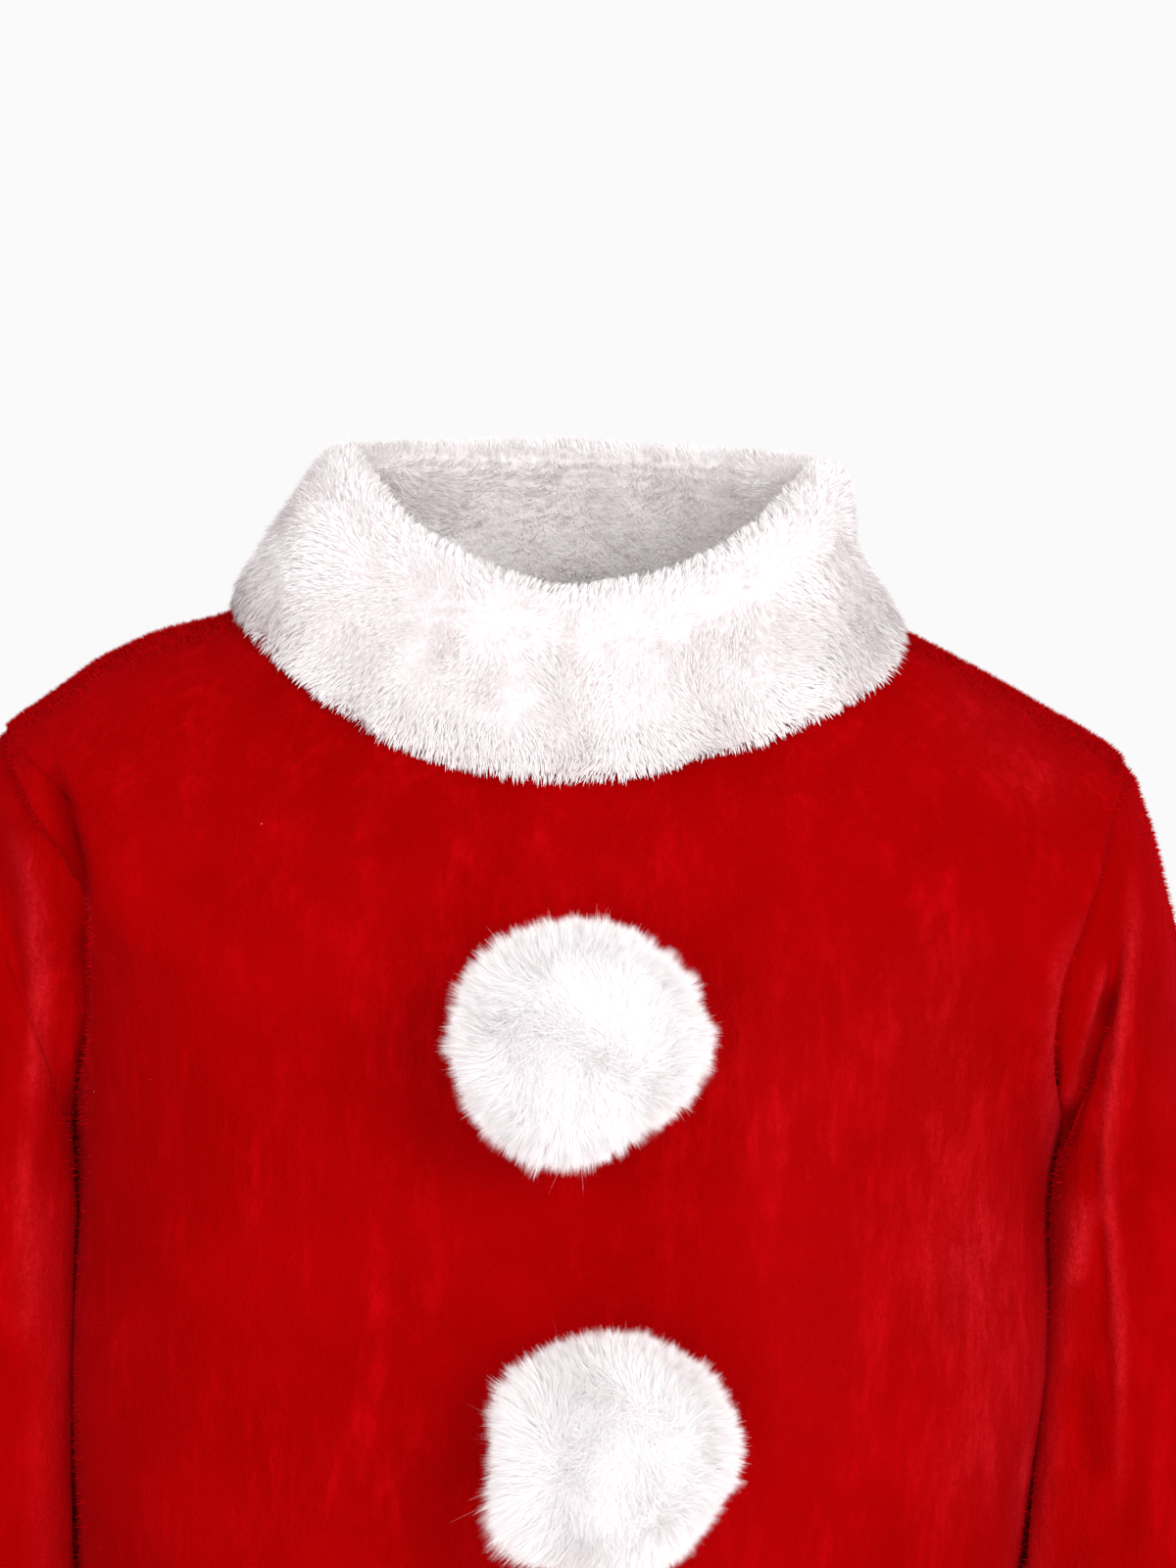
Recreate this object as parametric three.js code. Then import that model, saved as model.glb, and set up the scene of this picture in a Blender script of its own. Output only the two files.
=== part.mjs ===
// A child's velvet costume tunic with a plush funnel collar and two fur pompoms, in the form it has when worn.
// Millimetres, +Z up, +X towards the wearer's left, +Y towards the back. The origin is the middle of the neck
// opening, level with the points where the shoulder seams meet the collar.

import * as THREE from "three";

// Driving dimensions
const WALL = 1.6; // velvet with its pile
const TURNED_WALL = 3.2; // velvet turned up on itself at the hem and cuffs
const TURN_UP = 20; // height of the turned edge
const SEAM_GAP = 0.3; // between neighbouring pieces, and between the panels and what lies on them
const ARMHOLE_GAP = 0.4; // the sleeve turns away from the panels here, so it starts a little further off

// Rings round the torso, from the neckline down. side, front and back are heights at those places, left and
// right are half widths, fore and aft are half depths, and square is the power of the ring's superellipse.
const TORSO = [
  { at: "neckline", side: 2, front: -34, back: 5, left: 86, right: 86, fore: 64, aft: 60, square: 2.1 },
  { at: "yoke", side: -8, front: -50, back: -11, left: 107, right: 107, fore: 72.5, aft: 71, square: 2.15 },
  { at: "upper_chest", side: -19, front: -69, back: -33, left: 128, right: 128, fore: 79.5, aft: 80, square: 2.25 },
  { at: "shoulder", side: -32, front: -88, back: -58, left: 150, right: 149, fore: 84.5, aft: 86, square: 2.35 },
  { at: "cap", side: -48, front: -104, back: -80, left: 158, right: 152, fore: 87, aft: 89, square: 2.4 },
  { at: "blade", side: -84, front: -120, back: -107, left: 148, right: 135, fore: 88.5, aft: 90, square: 2.4 },
  { at: "armpit", side: -137, front: -147, back: -143, left: 136, right: 129, fore: 89, aft: 90, square: 2.4 },
  { at: "rib", side: -200, front: -201, back: -200, left: 137, right: 130, fore: 89, aft: 87, square: 2.35 },
  { at: "waist", side: -290, front: -290, back: -290, left: 129, right: 125, fore: 87, aft: 84, square: 2.3 },
  { at: "hip", side: -400, front: -400, back: -400, left: 134, right: 132, fore: 93, aft: 92, square: 2.2 },
  { at: "hem", side: -500, front: -500, back: -500, left: 142, right: 141, fore: 100, aft: 98, square: 2.15 },
];
const SHOULDER = TORSO.findIndex((ring) => ring.at === "shoulder");
const ARMPIT = TORSO.findIndex((ring) => ring.at === "armpit");
const WAIST = TORSO.findIndex((ring) => ring.at === "waist");
const HEM = TORSO.length - 1;

// Soft flutes that open from the waist down to the hem: how many go round, how deep, and where they start.
const FLUTES = [
  { waves: 7, depth: 3, turn: 0.4 },
  { waves: 11, depth: 1.6, turn: 1.9 },
];

// How far the armholes bite into the panels, as an angle round the torso.
const ARMHOLE = { left: 0.5, right: 0.52, roundness: 0.62 };

// Rings down a sleeve, after the armhole. clear is the gap from the torso's side to the inner point at height
// inner; out and outer are the outer point's distance from the middle and its height. mid and deep are the
// ring's middle and half depth from front to back, and press is how much wider it would be without the torso
// that it lies against.
const SLEEVE = [
  { at: "cap_top", clear: 1.5, inner: -139.5, out: 155.5, outer: -42, mid: 1, deep: 42, square: 2.4, press: 0 },
  { at: "cap", clear: 2, inner: -143, out: 161, outer: -57, mid: 2, deep: 44.5, square: 2.3, press: 0 },
  { at: "cap_end", clear: 2, inner: -149, out: 166.5, outer: -82, mid: 3, deep: 47, square: 2.3, press: 2 },
  { at: "upper_arm", clear: 1.8, inner: -160, out: 172.5, outer: -115, mid: 4, deep: 48, square: 2.3, press: 7 },
  { at: "mid_arm", clear: 1.6, inner: -182, out: 180.5, outer: -155, mid: 5, deep: 48, square: 2.2, press: 12 },
  { at: "above_elbow", clear: 1.6, inner: -225, out: 190, outer: -212, mid: 5, deep: 46.5, square: 2.2, press: 14 },
  { at: "elbow", clear: 2, inner: -285, out: 196, outer: -280, mid: 3, deep: 44, square: 2.2, press: 10 },
  { at: "forearm", clear: 6, inner: -350, out: 199, outer: -350, mid: -5, deep: 41, square: 2.1, press: 3 },
  { at: "cuff", clear: 9, inner: -440, out: 201, outer: -444, mid: -20, deep: 36, square: 2.1, press: 0 },
];

// Middle of the folded collar band, from its seam up to its fold; half is half its thickness with the plush.
const COLLAR = [
  { at: "seam", side: 3, front: -33, back: 6, left: 86, right: 86, fore: 64, aft: 60, square: 2.1, half: 5 },
  { at: "low", side: 12, front: -24, back: 15, left: 76, right: 79, fore: 61, aft: 58, square: 2.1, half: 6.5 },
  { at: "middle", side: 23, front: -14, back: 26, left: 70, right: 72.5, fore: 58, aft: 56, square: 2.1, half: 7 },
  { at: "high", side: 33, front: -4, back: 36, left: 69, right: 66, fore: 55, aft: 54, square: 2.1, half: 7 },
  { at: "fold", side: 39.5, front: 5, back: 43, left: 68.5, right: 62, fore: 52, aft: 52, square: 2.1, half: 6 },
];
const COLLAR_OUTSIDE = [0.4, 1, 2, 3, 4]; // rows of the section up the outside
const COLLAR_FOLD = [45, 90, 135]; // degrees round the fold
const COLLAR_INSIDE = [4, 3, 2, 1, 0]; // and rows down the inside
const COLLAR_SKIRT = 0.33; // row of the torso that the plush reaches down to
const COLLAR_CLEAR = 2 * SEAM_GAP; // the panels are flat between their columns, so it stands a little off

// x and z are the middle of a pompom, wide and tall its half sizes, deep its half depth, and stand how far its
// middle is from the front.
const POMS = [
  { name: "pom_upper", x: 7, z: -103, wide: 34.5, tall: 32.5, deep: 31, stand: 25 },
  { name: "pom_lower", x: 19, z: -207, wide: 33.5, tall: 32.5, deep: 30.5, stand: 25 },
];

// How finely each piece is faceted
const PANEL_COLUMNS = 24;
const YOKE_STEPS = [2, 2, 2]; // rows between one torso ring and the next, down to the shoulder
const SKIRT_STEPS = [2, 2, 3, 2]; // and from the armpit down to the hem
const ARMHOLE_STEPS = 9; // rows down an armhole, which the sleeve's columns meet
const SLEEVE_STEPS = [2, 2, 1, 1, 2, 2, 2, 2, 2]; // rows between one sleeve ring and the next
const SLEEVE_COLUMNS = 2 * ARMHOLE_STEPS;
const FINE = 20 * ARMHOLE_STEPS; // points kept on each half of a sleeve's ring
const COLLAR_COLUMNS = 42;
const POM_SEGMENTS = [18, 12];

// How finely the curves are measured
const CURVE_STEPS = 240; // straight steps along a curve
const HALVINGS = 40; // of a range, to find a place in it
const NUDGE = 1e-3; // of an angle or row, to find a direction
const SLEEVE_NUDGE = 0.01; // of a sleeve's share or row
const SLEEVE_START = 0.05; // row that gives the way a sleeve leaves its armhole
const RUNS_ON = [-0.2, 0.4]; // from where to where a sleeve's normal at its seam turns to the panel's

const MATERIALS = {
  velvet: new THREE.MeshStandardMaterial({ color: 0xa50006, roughness: 0.85, metalness: 0, side: THREE.DoubleSide }),
  plush: new THREE.MeshStandardMaterial({ color: 0xf6f0f1, roughness: 0.95, metalness: 0 }),
};

// Value of one column of a table at a fractional row, on a smooth curve through the rows.
function between(rows, column, row) {
  const last = rows.length - 1;
  const i = THREE.MathUtils.clamp(Math.floor(row), 0, last - 1);
  const t = row - i;
  const value = (k) => {
    if (k < 0) return 2 * rows[0][column] - rows[1][column];
    if (k > last) return 2 * rows[last][column] - rows[last - 1][column];
    return rows[k][column];
  };
  const [a, b, c, d] = [value(i - 1), value(i), value(i + 1), value(i + 2)];
  const bend = (3 * (b - c) + d - a) * t + (2 * a - 5 * b + 4 * c - d);
  return b + 0.5 * t * (c - a + t * bend);
}

// A point of a ring of a table: angle 0 is the wearer's left, a quarter turn less the front.
function ringPoint(rows, angle, row) {
  const at = (column) => between(rows, column, row);
  const [across, along] = [Math.cos(angle), Math.sin(angle)];
  const power = 2 / at("square");
  const reach = (value) => Math.sign(value) * Math.abs(value) ** power;
  const side = at("side");
  const x = reach(across) * at(across < 0 ? "right" : "left");
  const y = reach(along) * at(along < 0 ? "fore" : "aft");
  const z = side + (at(along < 0 ? "front" : "back") - side) * along * along;
  return new THREE.Vector3(x, y, z);
}

function torsoPoint(angle, row) {
  const point = ringPoint(TORSO, angle, row);
  const open = THREE.MathUtils.smoothstep(row, WAIST, HEM);
  const rise = FLUTES.reduce((sum, { waves, depth, turn }) => sum + depth * Math.cos(waves * angle + turn), 0);
  const stretch = 1 + (open * rise) / Math.hypot(point.x, point.y);
  return point.multiply(new THREE.Vector3(stretch, stretch, 1));
}

// Unit normal of a surface, by small steps along its two parameters.
function normalAt(surface, u, v, step = NUDGE) {
  const along = surface(u + step, v).sub(surface(u - step, v));
  const down = surface(u, v + step).sub(surface(u, v - step));
  return down.cross(along).normalize();
}

// Fractional rows from a first one on, with the given number of steps from each row of a table to the next.
function rowsWith(steps, first = 0) {
  const rows = steps.flatMap((count, i) => Array.from({ length: count }, (_, k) => first + i + k / count));
  return [...rows, first + steps.length];
}

// Row of the torso at a share of the way down an armhole: closer where the armhole turns.
function armholeRow(share) {
  return SHOULDER + ((ARMPIT - SHOULDER) * (1 - Math.cos(Math.PI * share))) / 2;
}

// Points at equal distances along a curve, a function of 0 to 1.
function evenPoints(curve, count) {
  const fine = Array.from({ length: CURVE_STEPS + 1 }, (_, i) => curve(i / CURVE_STEPS));
  const run = [0];
  fine.slice(1).forEach((point, i) => run.push(run[i] + point.distanceTo(fine[i])));
  const total = run[run.length - 1];
  return Array.from({ length: count + 1 }, (_, k) => {
    const wanted = (total * k) / count;
    const i = Math.max(1, run.findIndex((length) => length >= wanted - 1e-9));
    const share = (wanted - run[i - 1]) / (run[i] - run[i - 1]);
    return { share: (i - 1 + share) / CURVE_STEPS, point: fine[i - 1].clone().lerp(fine[i], share) };
  });
}

// How far an armhole bites into a panel at a row of the torso.
function armholeBite(side, row) {
  const down = (row - SHOULDER) / (ARMPIT - SHOULDER);
  if (down <= 0 || down >= 1) return 0;
  return (side > 0 ? ARMHOLE.left : ARMHOLE.right) * Math.sin(Math.PI * down) ** ARMHOLE.roundness;
}

// Angle of a panel's edge at a row: side is 1 at the wearer's left, face is 1 at the back.
function edgeAngle(side, face, row) {
  const bite = armholeBite(side, row);
  return face * (side > 0 ? bite : Math.PI - bite);
}

// A closed mesh of quads between the rows and columns of its outer and inner faces, with its rims. A round
// one joins its last column to its first.
function wallGeometry(outer, inner, round) {
  const [rows, columns] = [outer.length, outer[0].length];
  const last = { row: rows - 1, column: columns - 1 };
  const out = (r, c) => r * columns + (c % columns);
  const under = (r, c) => rows * columns + out(r, c);
  const index = [];
  const quad = (a, b, c, d) => index.push(a, b, c, a, c, d);
  for (let c = 0; c < (round ? columns : last.column); c++) {
    for (let r = 0; r < last.row; r++) {
      quad(out(r, c), out(r + 1, c), out(r + 1, c + 1), out(r, c + 1));
      quad(under(r, c), under(r, c + 1), under(r + 1, c + 1), under(r + 1, c));
    }
    quad(out(0, c), out(0, c + 1), under(0, c + 1), under(0, c));
    quad(out(last.row, c + 1), out(last.row, c), under(last.row, c), under(last.row, c + 1));
  }
  for (let r = 0; r < last.row && !round; r++) {
    quad(out(r + 1, 0), out(r, 0), under(r, 0), under(r + 1, 0));
    quad(out(r, last.column), out(r + 1, last.column), under(r + 1, last.column), under(r, last.column));
  }
  return meshGeometry([...outer.flat(), ...inner.flat()], index);
}

function meshGeometry(points, index) {
  const geometry = new THREE.BufferGeometry().setFromPoints(points).setIndex(index);
  geometry.computeVertexNormals();
  return geometry;
}

// Wall thickness at a distance from the free edge: doubled where the edge is turned up.
function wallAt(fromEdge) {
  return fromEdge < TURN_UP ? TURNED_WALL : WALL;
}

// Front or back panel: face is -1 at the front and 1 at the back.
function panelGeometry(face) {
  const shift = new THREE.Vector3(0, (face * SEAM_GAP) / 2, 0);
  const armhole = Array.from({ length: ARMHOLE_STEPS - 1 }, (_, k) => armholeRow((k + 1) / ARMHOLE_STEPS));
  const rows = [...rowsWith(YOKE_STEPS), ...armhole, ...rowsWith(SKIRT_STEPS, ARMPIT)];
  rows.splice(-1, 0, HEM - TURN_UP / (TORSO[HEM - 1].side - TORSO[HEM].side));
  const grid = rows.map((row) => {
    const from = edgeAngle(face, face, row);
    const to = edgeAngle(-face, face, row);
    const angleAt = (share) => from + (to - from) * share;
    return evenPoints((share) => torsoPoint(angleAt(share), row), PANEL_COLUMNS).map(({ share }) => {
      const angle = angleAt(share);
      const point = torsoPoint(angle, row).add(shift);
      const normal = normalAt(torsoPoint, angle, row);
      const inner = point.clone().addScaledVector(normal, -wallAt(point.z - TORSO[HEM].side));
      return { point, inner };
    });
  });
  return wallGeometry(
    grid.map((line) => line.map(({ point }) => point)),
    grid.map((line) => line.map(({ inner }) => inner)),
    false,
  );
}

// Distance from the middle to the torso's side at a height and a depth.
function torsoSide(side, height, depth) {
  let [above, below] = [0, HEM];
  for (let i = 0; i < HALVINGS; i++) {
    const row = (above + below) / 2;
    if (between(TORSO, "side", row) > height) above = row;
    else below = row;
  }
  const at = (column) => between(TORSO, column, above);
  const share = Math.abs(depth) / at(depth < 0 ? "fore" : "aft");
  return at(side > 0 ? "left" : "right") * (1 - share ** at("square")) ** (1 / at("square"));
}

// Half of a sleeve's ring as a curve from its outer to its inner point: face is 1 at the back.
function sleeveHalf(side, face, ring) {
  if (!ring) {
    return (share) => {
      const row = armholeRow(share);
      return torsoPoint(edgeAngle(side, face, row), row);
    };
  }
  const reach = torsoSide(side, ring.inner, 0) + ring.clear - ring.press;
  const inner = new THREE.Vector3(side * reach, ring.mid, ring.inner);
  const outer = new THREE.Vector3(side * ring.out, ring.mid, ring.outer);
  const middle = inner.clone().lerp(outer, 0.5);
  const power = 2 / ring.square;
  return (share) => {
    const turn = share * Math.PI;
    const across = Math.sign(Math.cos(turn)) * Math.abs(Math.cos(turn)) ** power;
    const point = middle.clone().addScaledVector(outer.clone().sub(middle), across);
    point.y += face * ring.deep * Math.sin(turn) ** power;
    if (ring.press > 0) {
      const least = torsoSide(side, point.z, point.y) + ring.clear;
      point.x = side * Math.max(side * point.x, least);
    }
    return point;
  };
}

// A sleeve's surface as a function of the share of the way round and the row. The columns run from the outer
// point, anticlockwise seen from above.
function sleeveSurface(side) {
  const rings = [null, ...SLEEVE].map((ring) => {
    const [first, second] = [side, -side].map((face) => {
      const half = sleeveHalf(side, face, ring);
      if (ring) return evenPoints(half, FINE).map(({ point }) => point);
      return Array.from({ length: FINE + 1 }, (_, k) => half(k / FINE));
    });
    return [...first, ...second.reverse().slice(1, -1)];
  });
  const pointOn = (ring, share) => {
    const place = THREE.MathUtils.euclideanModulo(share, 1) * ring.length;
    const i = Math.floor(place);
    return ring[i % ring.length].clone().lerp(ring[(i + 1) % ring.length], place - i);
  };
  return (share, row) => {
    const points = rings.map((ring) => pointOn(ring, share));
    return new THREE.Vector3(between(points, "x", row), between(points, "y", row), between(points, "z", row));
  };
}

// A sleeve's normal at its seam, turned to the panel's own where the two run on from each other, so that their
// edges are parallel. Under the arm the sleeve folds back, and keeps its own.
function seamNormal(side, share, normal) {
  const face = share < 0.5 ? side : -side;
  const row = armholeRow(2 * Math.min(share, 1 - share));
  const panel = normalAt(torsoPoint, edgeAngle(side, face, row), row);
  const alike = THREE.MathUtils.smoothstep(panel.dot(normal), ...RUNS_ON);
  return normal.clone().lerp(panel, alike).normalize();
}

function sleeveGeometry(side) {
  const surface = sleeveSurface(side);
  const rows = rowsWith(SLEEVE_STEPS);
  const [forearm, cuff] = SLEEVE.slice(-2);
  rows.splice(-1, 0, SLEEVE.length - TURN_UP / (forearm.inner - cuff.inner));
  const shares = Array.from({ length: SLEEVE_COLUMNS }, (_, k) => k / SLEEVE_COLUMNS);
  const grid = rows.map((row) =>
    shares.map((share) => {
      const point = surface(share, row);
      const normal = normalAt(surface, share, row, SLEEVE_NUDGE);
      if (row === 0) {
        point.addScaledVector(surface(share, SLEEVE_START).sub(point).normalize(), ARMHOLE_GAP);
        normal.copy(seamNormal(side, share, normal));
      }
      const fromEdge = (SLEEVE.length - row) * (forearm.inner - cuff.inner);
      return { point, inner: point.clone().addScaledVector(normal, -wallAt(fromEdge)) };
    }),
  );
  return wallGeometry(
    grid.map((line) => line.map(({ point }) => point)),
    grid.map((line) => line.map(({ inner }) => inner)),
    true,
  );
}

// Section of the collar at an angle, anticlockwise: up the outside, round the fold, down the inside, and out
// along the panels, which it clears by the seam gap.
function collarSection(angle) {
  const surface = (u, v) => ringPoint(COLLAR, u, v);
  const fold = COLLAR.length - 1;
  const frame = (row) => ({
    point: surface(angle, row),
    out: normalAt(surface, angle, row).negate(),
    up: surface(angle, row + NUDGE).sub(surface(angle, row - NUDGE)).normalize(),
    half: between(COLLAR, "half", row),
  });
  const offset = ({ point, out, up, half }, degrees) => {
    const turn = THREE.MathUtils.degToRad(degrees);
    return point.addScaledVector(out, half * Math.cos(turn)).addScaledVector(up, half * Math.sin(turn));
  };
  const onPanel = (row) =>
    torsoPoint(angle, row).addScaledVector(normalAt(torsoPoint, angle, row), COLLAR_CLEAR);
  return [
    ...COLLAR_OUTSIDE.map((row) => offset(frame(row), 0)),
    ...COLLAR_FOLD.map((degrees) => offset(frame(fold), degrees)),
    ...COLLAR_INSIDE.map((row) => offset(frame(row), 180)),
    onPanel(0),
    onPanel(COLLAR_SKIRT),
  ];
}

function collarGeometry() {
  const sections = Array.from({ length: COLLAR_COLUMNS }, (_, c) =>
    collarSection((2 * Math.PI * c) / COLLAR_COLUMNS - Math.PI),
  );
  const count = sections[0].length;
  const at = (c, k) => (c % COLLAR_COLUMNS) * count + (k % count);
  const index = sections.flatMap((_, c) =>
    Array.from({ length: count }, (_, k) => [
      [at(c, k), at(c + 1, k), at(c + 1, k + 1)],
      [at(c, k), at(c + 1, k + 1), at(c, k + 1)],
    ]).flat(2),
  );
  return meshGeometry(sections.flat(), index);
}

// The front's own y at a place seen from the front: the row is found for each angle, and the angle for x.
function frontDepth(x, z) {
  const halve = (low, high, tooLow) => {
    for (let i = 0; i < HALVINGS; i++) {
      const middle = (low + high) / 2;
      if (tooLow(middle)) low = middle;
      else high = middle;
    }
    return low;
  };
  const rowAt = (angle) => halve(0, WAIST + 1, (row) => ringPoint(TORSO, angle, row).z > z);
  const angle = halve(-Math.PI, 0, (turn) => ringPoint(TORSO, turn, rowAt(turn)).x < x);
  return ringPoint(TORSO, angle, rowAt(angle)).y - SEAM_GAP / 2;
}

// A pompom, round in front and flattened behind on the front panel.
function pomGeometry({ x, z, wide, tall, deep, stand }) {
  const geometry = new THREE.SphereGeometry(1, ...POM_SEGMENTS);
  const middle = frontDepth(x, z) - stand;
  geometry.scale(wide, deep, tall).translate(x, middle, z);
  const place = geometry.getAttribute("position");
  for (let i = 0; i < place.count; i++) {
    const panel = frontDepth(place.getX(i), place.getZ(i)) - SEAM_GAP;
    place.setY(i, Math.min(place.getY(i), panel));
  }
  geometry.computeVertexNormals();
  return geometry;
}

const tunic = new THREE.Group();

function add(name, geometry, material) {
  const mesh = new THREE.Mesh(geometry, material.clone());
  mesh.name = name;
  tunic.add(mesh);
}

add("front", panelGeometry(-1), MATERIALS.velvet);
add("back", panelGeometry(1), MATERIALS.velvet);
add("sleeve_left", sleeveGeometry(1), MATERIALS.velvet);
add("sleeve_right", sleeveGeometry(-1), MATERIALS.velvet);
add("collar", collarGeometry(), MATERIALS.plush);
POMS.forEach((pom) => add(pom.name, pomGeometry(pom), MATERIALS.plush));

export default tunic;
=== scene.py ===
"""A child's velvet costume tunic, dressed: creased velvet shells with nap, a plush collar and fur pompoms.

Sizes in the tables are millimetres in the part's own frame: +X to the wearer's left, +Y to the back, +Z up,
with the origin in the middle of the neck opening. Everything that is built is in metres.
"""

import logging
import math
from dataclasses import dataclass, field
from enum import Enum
from typing import NamedTuple, Optional, Sequence

import bpy
import numpy as np
from mathutils import Matrix, Vector


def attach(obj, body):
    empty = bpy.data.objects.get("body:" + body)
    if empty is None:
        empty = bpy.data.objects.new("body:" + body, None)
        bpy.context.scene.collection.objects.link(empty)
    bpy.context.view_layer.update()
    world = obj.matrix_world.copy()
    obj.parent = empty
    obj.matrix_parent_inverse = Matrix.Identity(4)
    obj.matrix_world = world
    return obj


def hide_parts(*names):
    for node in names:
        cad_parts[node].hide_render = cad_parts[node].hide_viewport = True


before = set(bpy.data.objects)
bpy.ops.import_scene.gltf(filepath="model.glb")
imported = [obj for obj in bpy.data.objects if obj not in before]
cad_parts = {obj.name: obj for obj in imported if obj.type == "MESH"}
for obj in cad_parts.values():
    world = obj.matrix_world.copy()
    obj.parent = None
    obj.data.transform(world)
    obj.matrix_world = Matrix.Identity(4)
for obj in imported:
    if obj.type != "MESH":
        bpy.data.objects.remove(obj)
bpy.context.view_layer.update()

logging.basicConfig(level=logging.INFO, format="%(message)s")
LOG = logging.getLogger("tunic")

MM = 0.001
SLOPE_STEP = 1e-3  # the small step of an angle or a row that slopes are taken over
NEAR_EDGE = np.array([0.035, 0.02, 0.01])  # rows added so far from a hem's or cuff's edge, to round it off
LEGS = 12  # straight legs between two places on a mark's path
TURNED_AWAY = (-0.05, 0.35)  # marks on a side fade out where the cloth faces it between so much
FINE_ROWS = 4001  # rows in which a height is looked up
FINE_PANEL = 721  # fine points across a panel, from which its columns are spaced out
HALF_STEPS = 1080  # fine steps along half of an armhole or a sleeve's ring


# -------------------------------------------------------------------------------- numbers


def smoothstep(value: np.ndarray, low: float, high: float) -> np.ndarray:
    """0 below low, 1 above high, and a smooth turn between them."""
    share = np.clip((value - low) / (high - low), 0.0, 1.0)
    return share * share * (3.0 - 2.0 * share)


def unit(vectors: np.ndarray) -> np.ndarray:
    """The vectors at length 1."""
    return vectors / np.maximum(np.linalg.norm(vectors, axis=-1, keepdims=True), 1e-12)


def between(values: np.ndarray, row: np.ndarray) -> np.ndarray:
    """Values at fractional rows, on a smooth curve through the whole rows.

    Args:
        values: one value, or one array of values, for each row.
        row: the fractional rows.

    Returns:
        The values there, with the shape of row and then that of one value.
    """
    values = np.asarray(values, float)
    row = np.asarray(row, float)
    last = len(values) - 1
    held = np.concatenate([[2 * values[0] - values[1]], values, [2 * values[-1] - values[-2]]])
    i = np.clip(np.floor(row).astype(int), 0, last - 1)
    t = (row - i).reshape(row.shape + (1,) * (values.ndim - 1))
    a, b, c, d = held[i], held[i + 1], held[i + 2], held[i + 3]
    bend = (3 * (b - c) + d - a) * t + (2 * a - 5 * b + 4 * c - d)
    return b + 0.5 * t * (c - a + t * bend)


def even_shares(curve: np.ndarray, count: int) -> np.ndarray:
    """Shares of a curve's own parameter that are equally far apart along it.

    Args:
        curve: points along the curve, at equal steps of its parameter.
        count: how many shares are wanted, both ends among them.

    Returns:
        The shares, from 0 to 1.
    """
    steps = np.linalg.norm(np.diff(curve, axis=0), axis=1)
    run = np.concatenate([[0.0], np.cumsum(steps)])
    return np.interp(np.linspace(0, run[-1], count), run, np.linspace(0, 1, len(curve)))


def grid_normals(points: np.ndarray, closed: bool) -> np.ndarray:
    """Unit normals of a grid of points: down its rows, across its columns.

    Args:
        points: the grid, rows by columns by 3.
        closed: whether the last column runs on into the first.

    Returns:
        The normals, on the outer side.
    """
    down = np.gradient(points, axis=0)
    if closed:
        across = np.roll(points, -1, axis=1) - np.roll(points, 1, axis=1)
    else:
        across = np.gradient(points, axis=1)
    return unit(np.cross(down, across))


def softened(values: np.ndarray, closed: bool, times: int = 24) -> np.ndarray:
    """A grid of vectors, each averaged with its neighbours several times and set back to length 1.

    Args:
        values: the vectors, rows by columns by 3.
        closed: whether the last column runs on into the first.
        times: how many times.

    Returns:
        The new vectors.
    """
    for _ in range(times):
        padded = np.concatenate([values[:1], values, values[-1:]])
        values = (padded[:-2] + 2 * values + padded[2:]) / 4
        if closed:
            sides = np.roll(values, 1, axis=1) + np.roll(values, -1, axis=1)
        else:
            wide = np.concatenate([values[:, :1], values, values[:, -1:]], axis=1)
            sides = wide[:, :-2] + wide[:, 2:]
        values = (sides + 2 * values) / 4
    return unit(values)


# -------------------------------------------------------------------------------- creases


class Side(Enum):
    """A side that creases are laid out on: the two axes that it is measured along, and the way it faces."""

    FRONT = ((0, 2), (0.0, -1.0, 0.0))
    BACK = ((0, 2), (0.0, 1.0, 0.0))
    LEFT = ((1, 2), (1.0, 0.0, 0.0))
    RIGHT = ((1, 2), (-1.0, 0.0, 0.0))
    TOP = ((0, 1), (0.0, 0.0, 1.0))

    @property
    def axes(self) -> list[int]:
        """The axes that places on the side are measured along."""
        return list(self.value[0])

    @property
    def facing(self) -> np.ndarray:
        """The way the side faces."""
        return np.array(self.value[1])


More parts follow.
